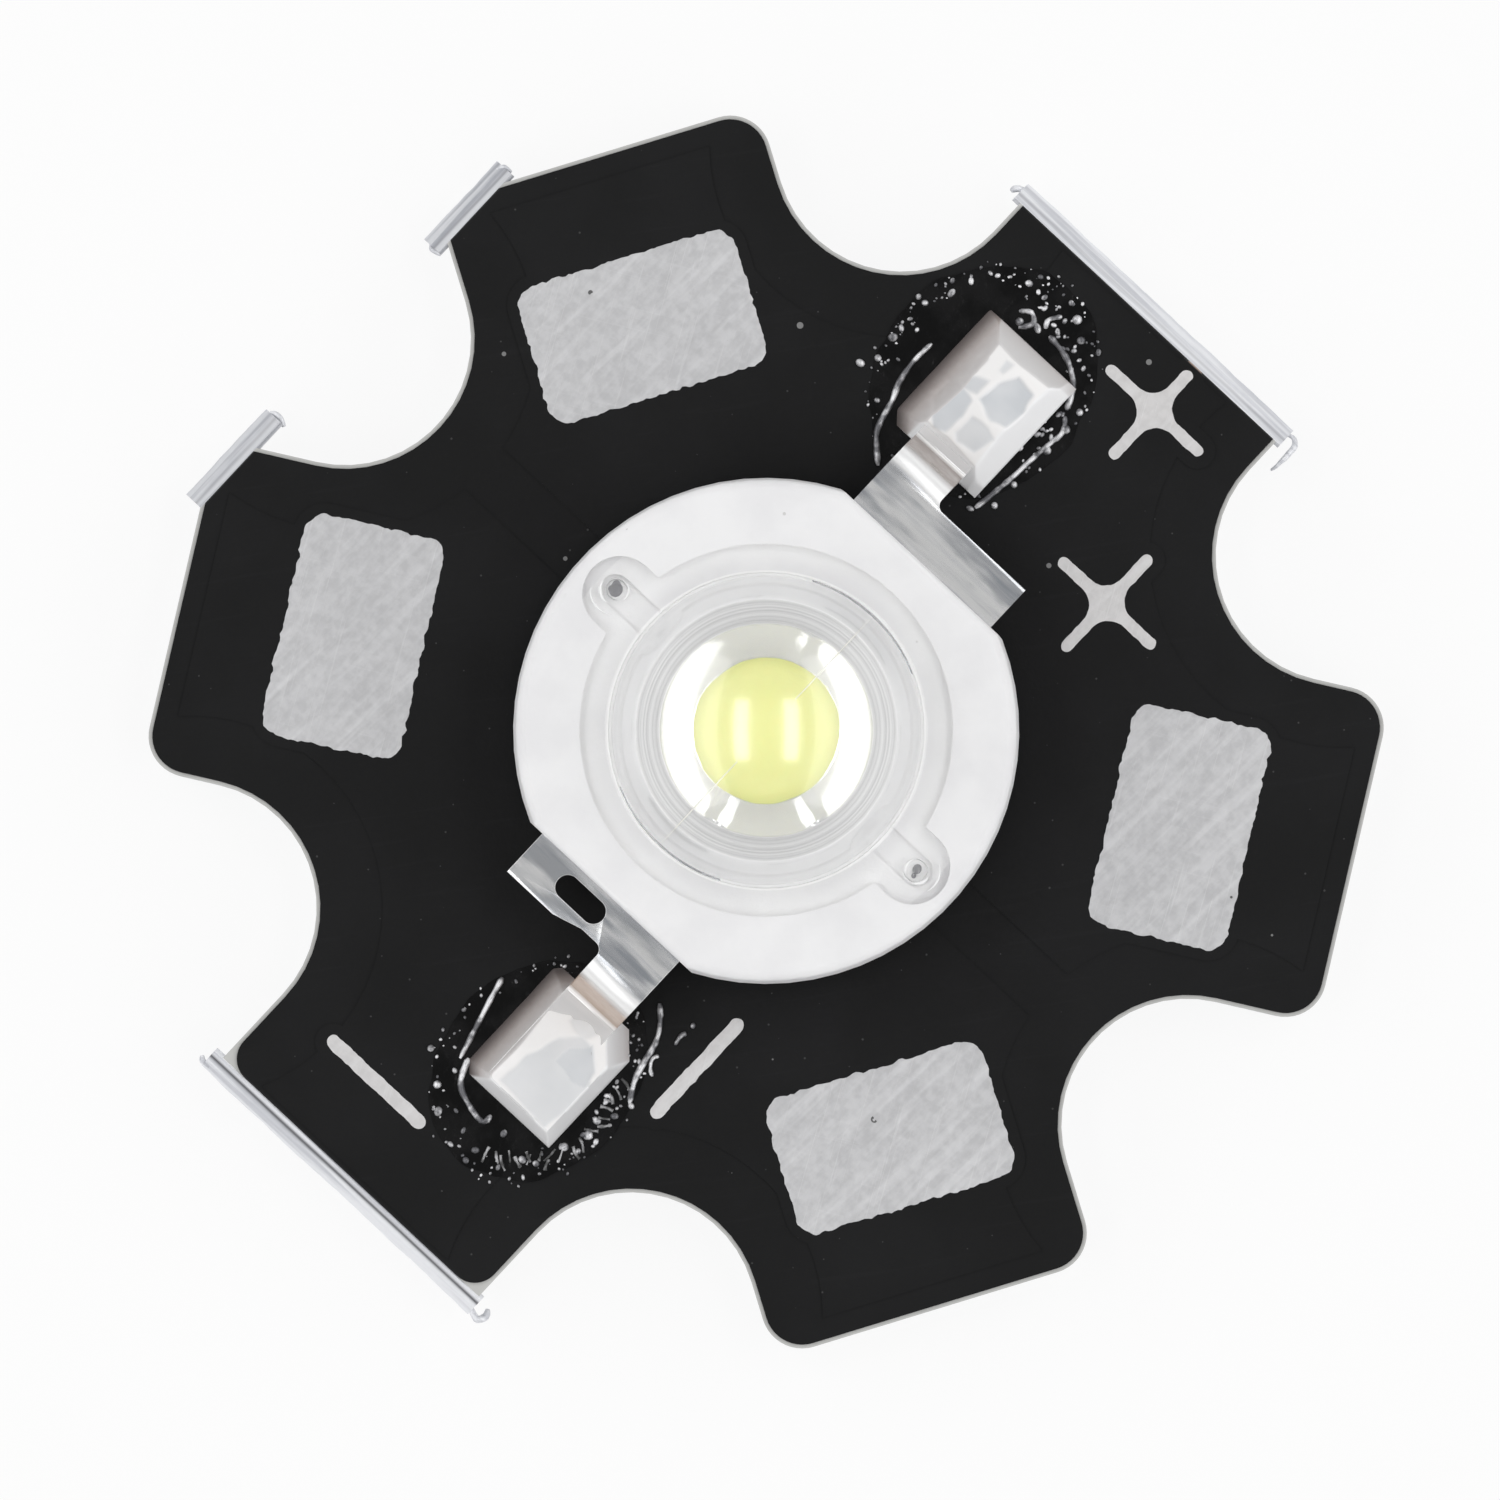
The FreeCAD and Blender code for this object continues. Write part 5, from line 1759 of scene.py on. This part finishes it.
@dataclass
class Studio:
    """Floor, lamps, world and camera, in metres."""

    roll: float = 47.0
    height: float = 0.52
    aside: float = 0.004
    framing: float = 0.0238
    aim_height: float = 0.0016
    film_width: float = 36.0
    paper: Colour = (0.84, 0.84, 0.84)
    seen_white: float = 0.86
    sky: Sequence[float] = (0.45, 0.985, 0.58, 0.36)
    lamps: Sequence[Lamp] = (
        Lamp("softbox", 52.0, 0.45, (0.26, 1.15), 1.02), Lamp("strip", 18.5, 0.37, (0.070, 0.30), 2.8))

    def build(self) -> None:
        """Set the stage."""
        self.build_floor()
        self.build_world()
        self.build_lamps()
        self.build_camera()
        bpy.context.scene.view_settings.view_transform = "Standard"

    def sight(self) -> tuple[Vector, Vector]:
        """Directions on the floor that the picture shows as right and up."""
        turn = math.radians(self.roll)
        return Vector((math.cos(turn), -math.sin(turn), 0)), Vector((math.sin(turn), math.cos(turn), 0))

    def build_floor(self) -> None:
        """Lay a pale floor that reads as white and still takes the part's shadow."""
        bm = bmesh.new()
        bmesh.ops.create_grid(bm, x_segments=1, y_segments=1, size=3.0)
        mesh = bpy.data.meshes.new("studio_floor")
        bm.to_mesh(mesh)
        bm.free()
        floor = placed("studio_floor", mesh)
        r = Recipe("pale_floor", "ShaderNodeMixShader")
        paper = r.node("ShaderNodeBsdfDiffuse", {}, {"Color": (*self.paper, 1.0)})
        glow = r.node("ShaderNodeEmission", {}, {"Color": (1.0, 1.0, 1.0, 1.0), "Strength": 1.0})
        seen, *others = (r.node("ShaderNodeLightPath", output=f"Is {kind} Ray")
                         for kind in ("Camera", "Glossy", "Transmission"))
        for other in others:
            seen = seen.math("MAXIMUM", other)
        for socket, value in zip(r.shader.inputs, (seen * self.seen_white, paper, glow)):
            r.feed(socket, value)
        mesh.materials.append(r.material)

    def build_world(self) -> None:
        """Fill in from a pale sky that is darker straight above, where the camera hangs."""
        world = bpy.data.worlds.new("studio_sky")
        world.use_nodes = True
        bpy.context.scene.world = world
        tree = world.node_tree
        back = tree.nodes["Background"]
        back.inputs["Color"].default_value = (1.0, 1.0, 1.0, 1.0)
        place = tree.nodes.new("ShaderNodeTexCoord")
        split = tree.nodes.new("ShaderNodeSeparateXYZ")
        step = tree.nodes.new("ShaderNodeMapRange")
        step.interpolation_type = "SMOOTHSTEP"
        for index, value in enumerate(self.sky, 1):
            step.inputs[index].default_value = value
        tree.links.new(place.outputs["Generated"], split.inputs[0])
        tree.links.new(split.outputs[2], step.inputs[0])
        tree.links.new(step.outputs[0], back.inputs["Strength"])

    def build_lamps(self) -> None:
        """Hang two soft boxes at the sides and two strips near the camera."""
        for side in (-1, 1):
            for lamp in self.lamps:
                self.hang(lamp, side)

    def hang(self, lamp: Lamp, side: int) -> None:
        """Hang a lamp on one side.

        Args:
            lamp: The lamp.
            side: 1 for the picture's right, -1 for its left.
        """
        right, up = self.sight()
        name = f"{lamp.name}_{side}"
        light = bpy.data.lights.new(name, "AREA")
        light.shape = "RECTANGLE"
        light.size, light.size_y = lamp.size
        light.energy = lamp.level * math.pi * lamp.size[0] * lamp.size[1]
        tilt = math.radians(lamp.tilt)
        toward = right * side * math.sin(tilt) + Vector((0, 0, math.cos(tilt)))
        holder = placed(name, light)
        holder.matrix_world = Matrix.Translation(toward * lamp.distance) @ self.looking(toward, up)
        holder.visible_camera = False

    def looking(self, back: Vector, up: Vector) -> Matrix:
        """Turn of a lamp or camera.

        Args:
            back: Direction away from what it looks at.
            up: Direction that its own Y axis leans to.

        Returns:
            The turn.
        """
        across = up.cross(back).normalized()
        return Matrix((across, back.cross(across), back)).transposed().to_4x4()

    def build_camera(self) -> None:
        """Hang the camera almost straight above, a little towards the bottom of the picture."""
        up = self.sight()[1]
        low, high = cad_box
        target = (low + high) / 2
        target.z = self.aim_height
        spot = target - up * self.aside + Vector((0, 0, self.height))
        lens = bpy.data.cameras.new("camera")
        lens.sensor_width = self.film_width
        lens.lens = self.film_width * (spot - target).length / self.framing
        lens.clip_start = 0.01
        lens.clip_end = 10.0
        camera = placed("camera", lens)
        camera.matrix_world = Matrix.Translation(spot) @ self.looking((spot - target).normalized(), up)
        bpy.context.scene.camera = camera


def corners(box: Iterable[Vector]) -> list[list[float]]:
    """Corners of a box as plain lists."""
    return [list(corner) for corner in box]


def main() -> None:
    """Build the part and its studio in order."""
    logging.basicConfig(level=logging.INFO, format="%(name)s %(message)s")
    paint = Paintbox()
    StarBoard(paint).build()
    Package(paint).build()
    SolderWork(paint).build()
    Optic(paint).build()
    Studio().build()


if __name__ == "__main__":
    main()
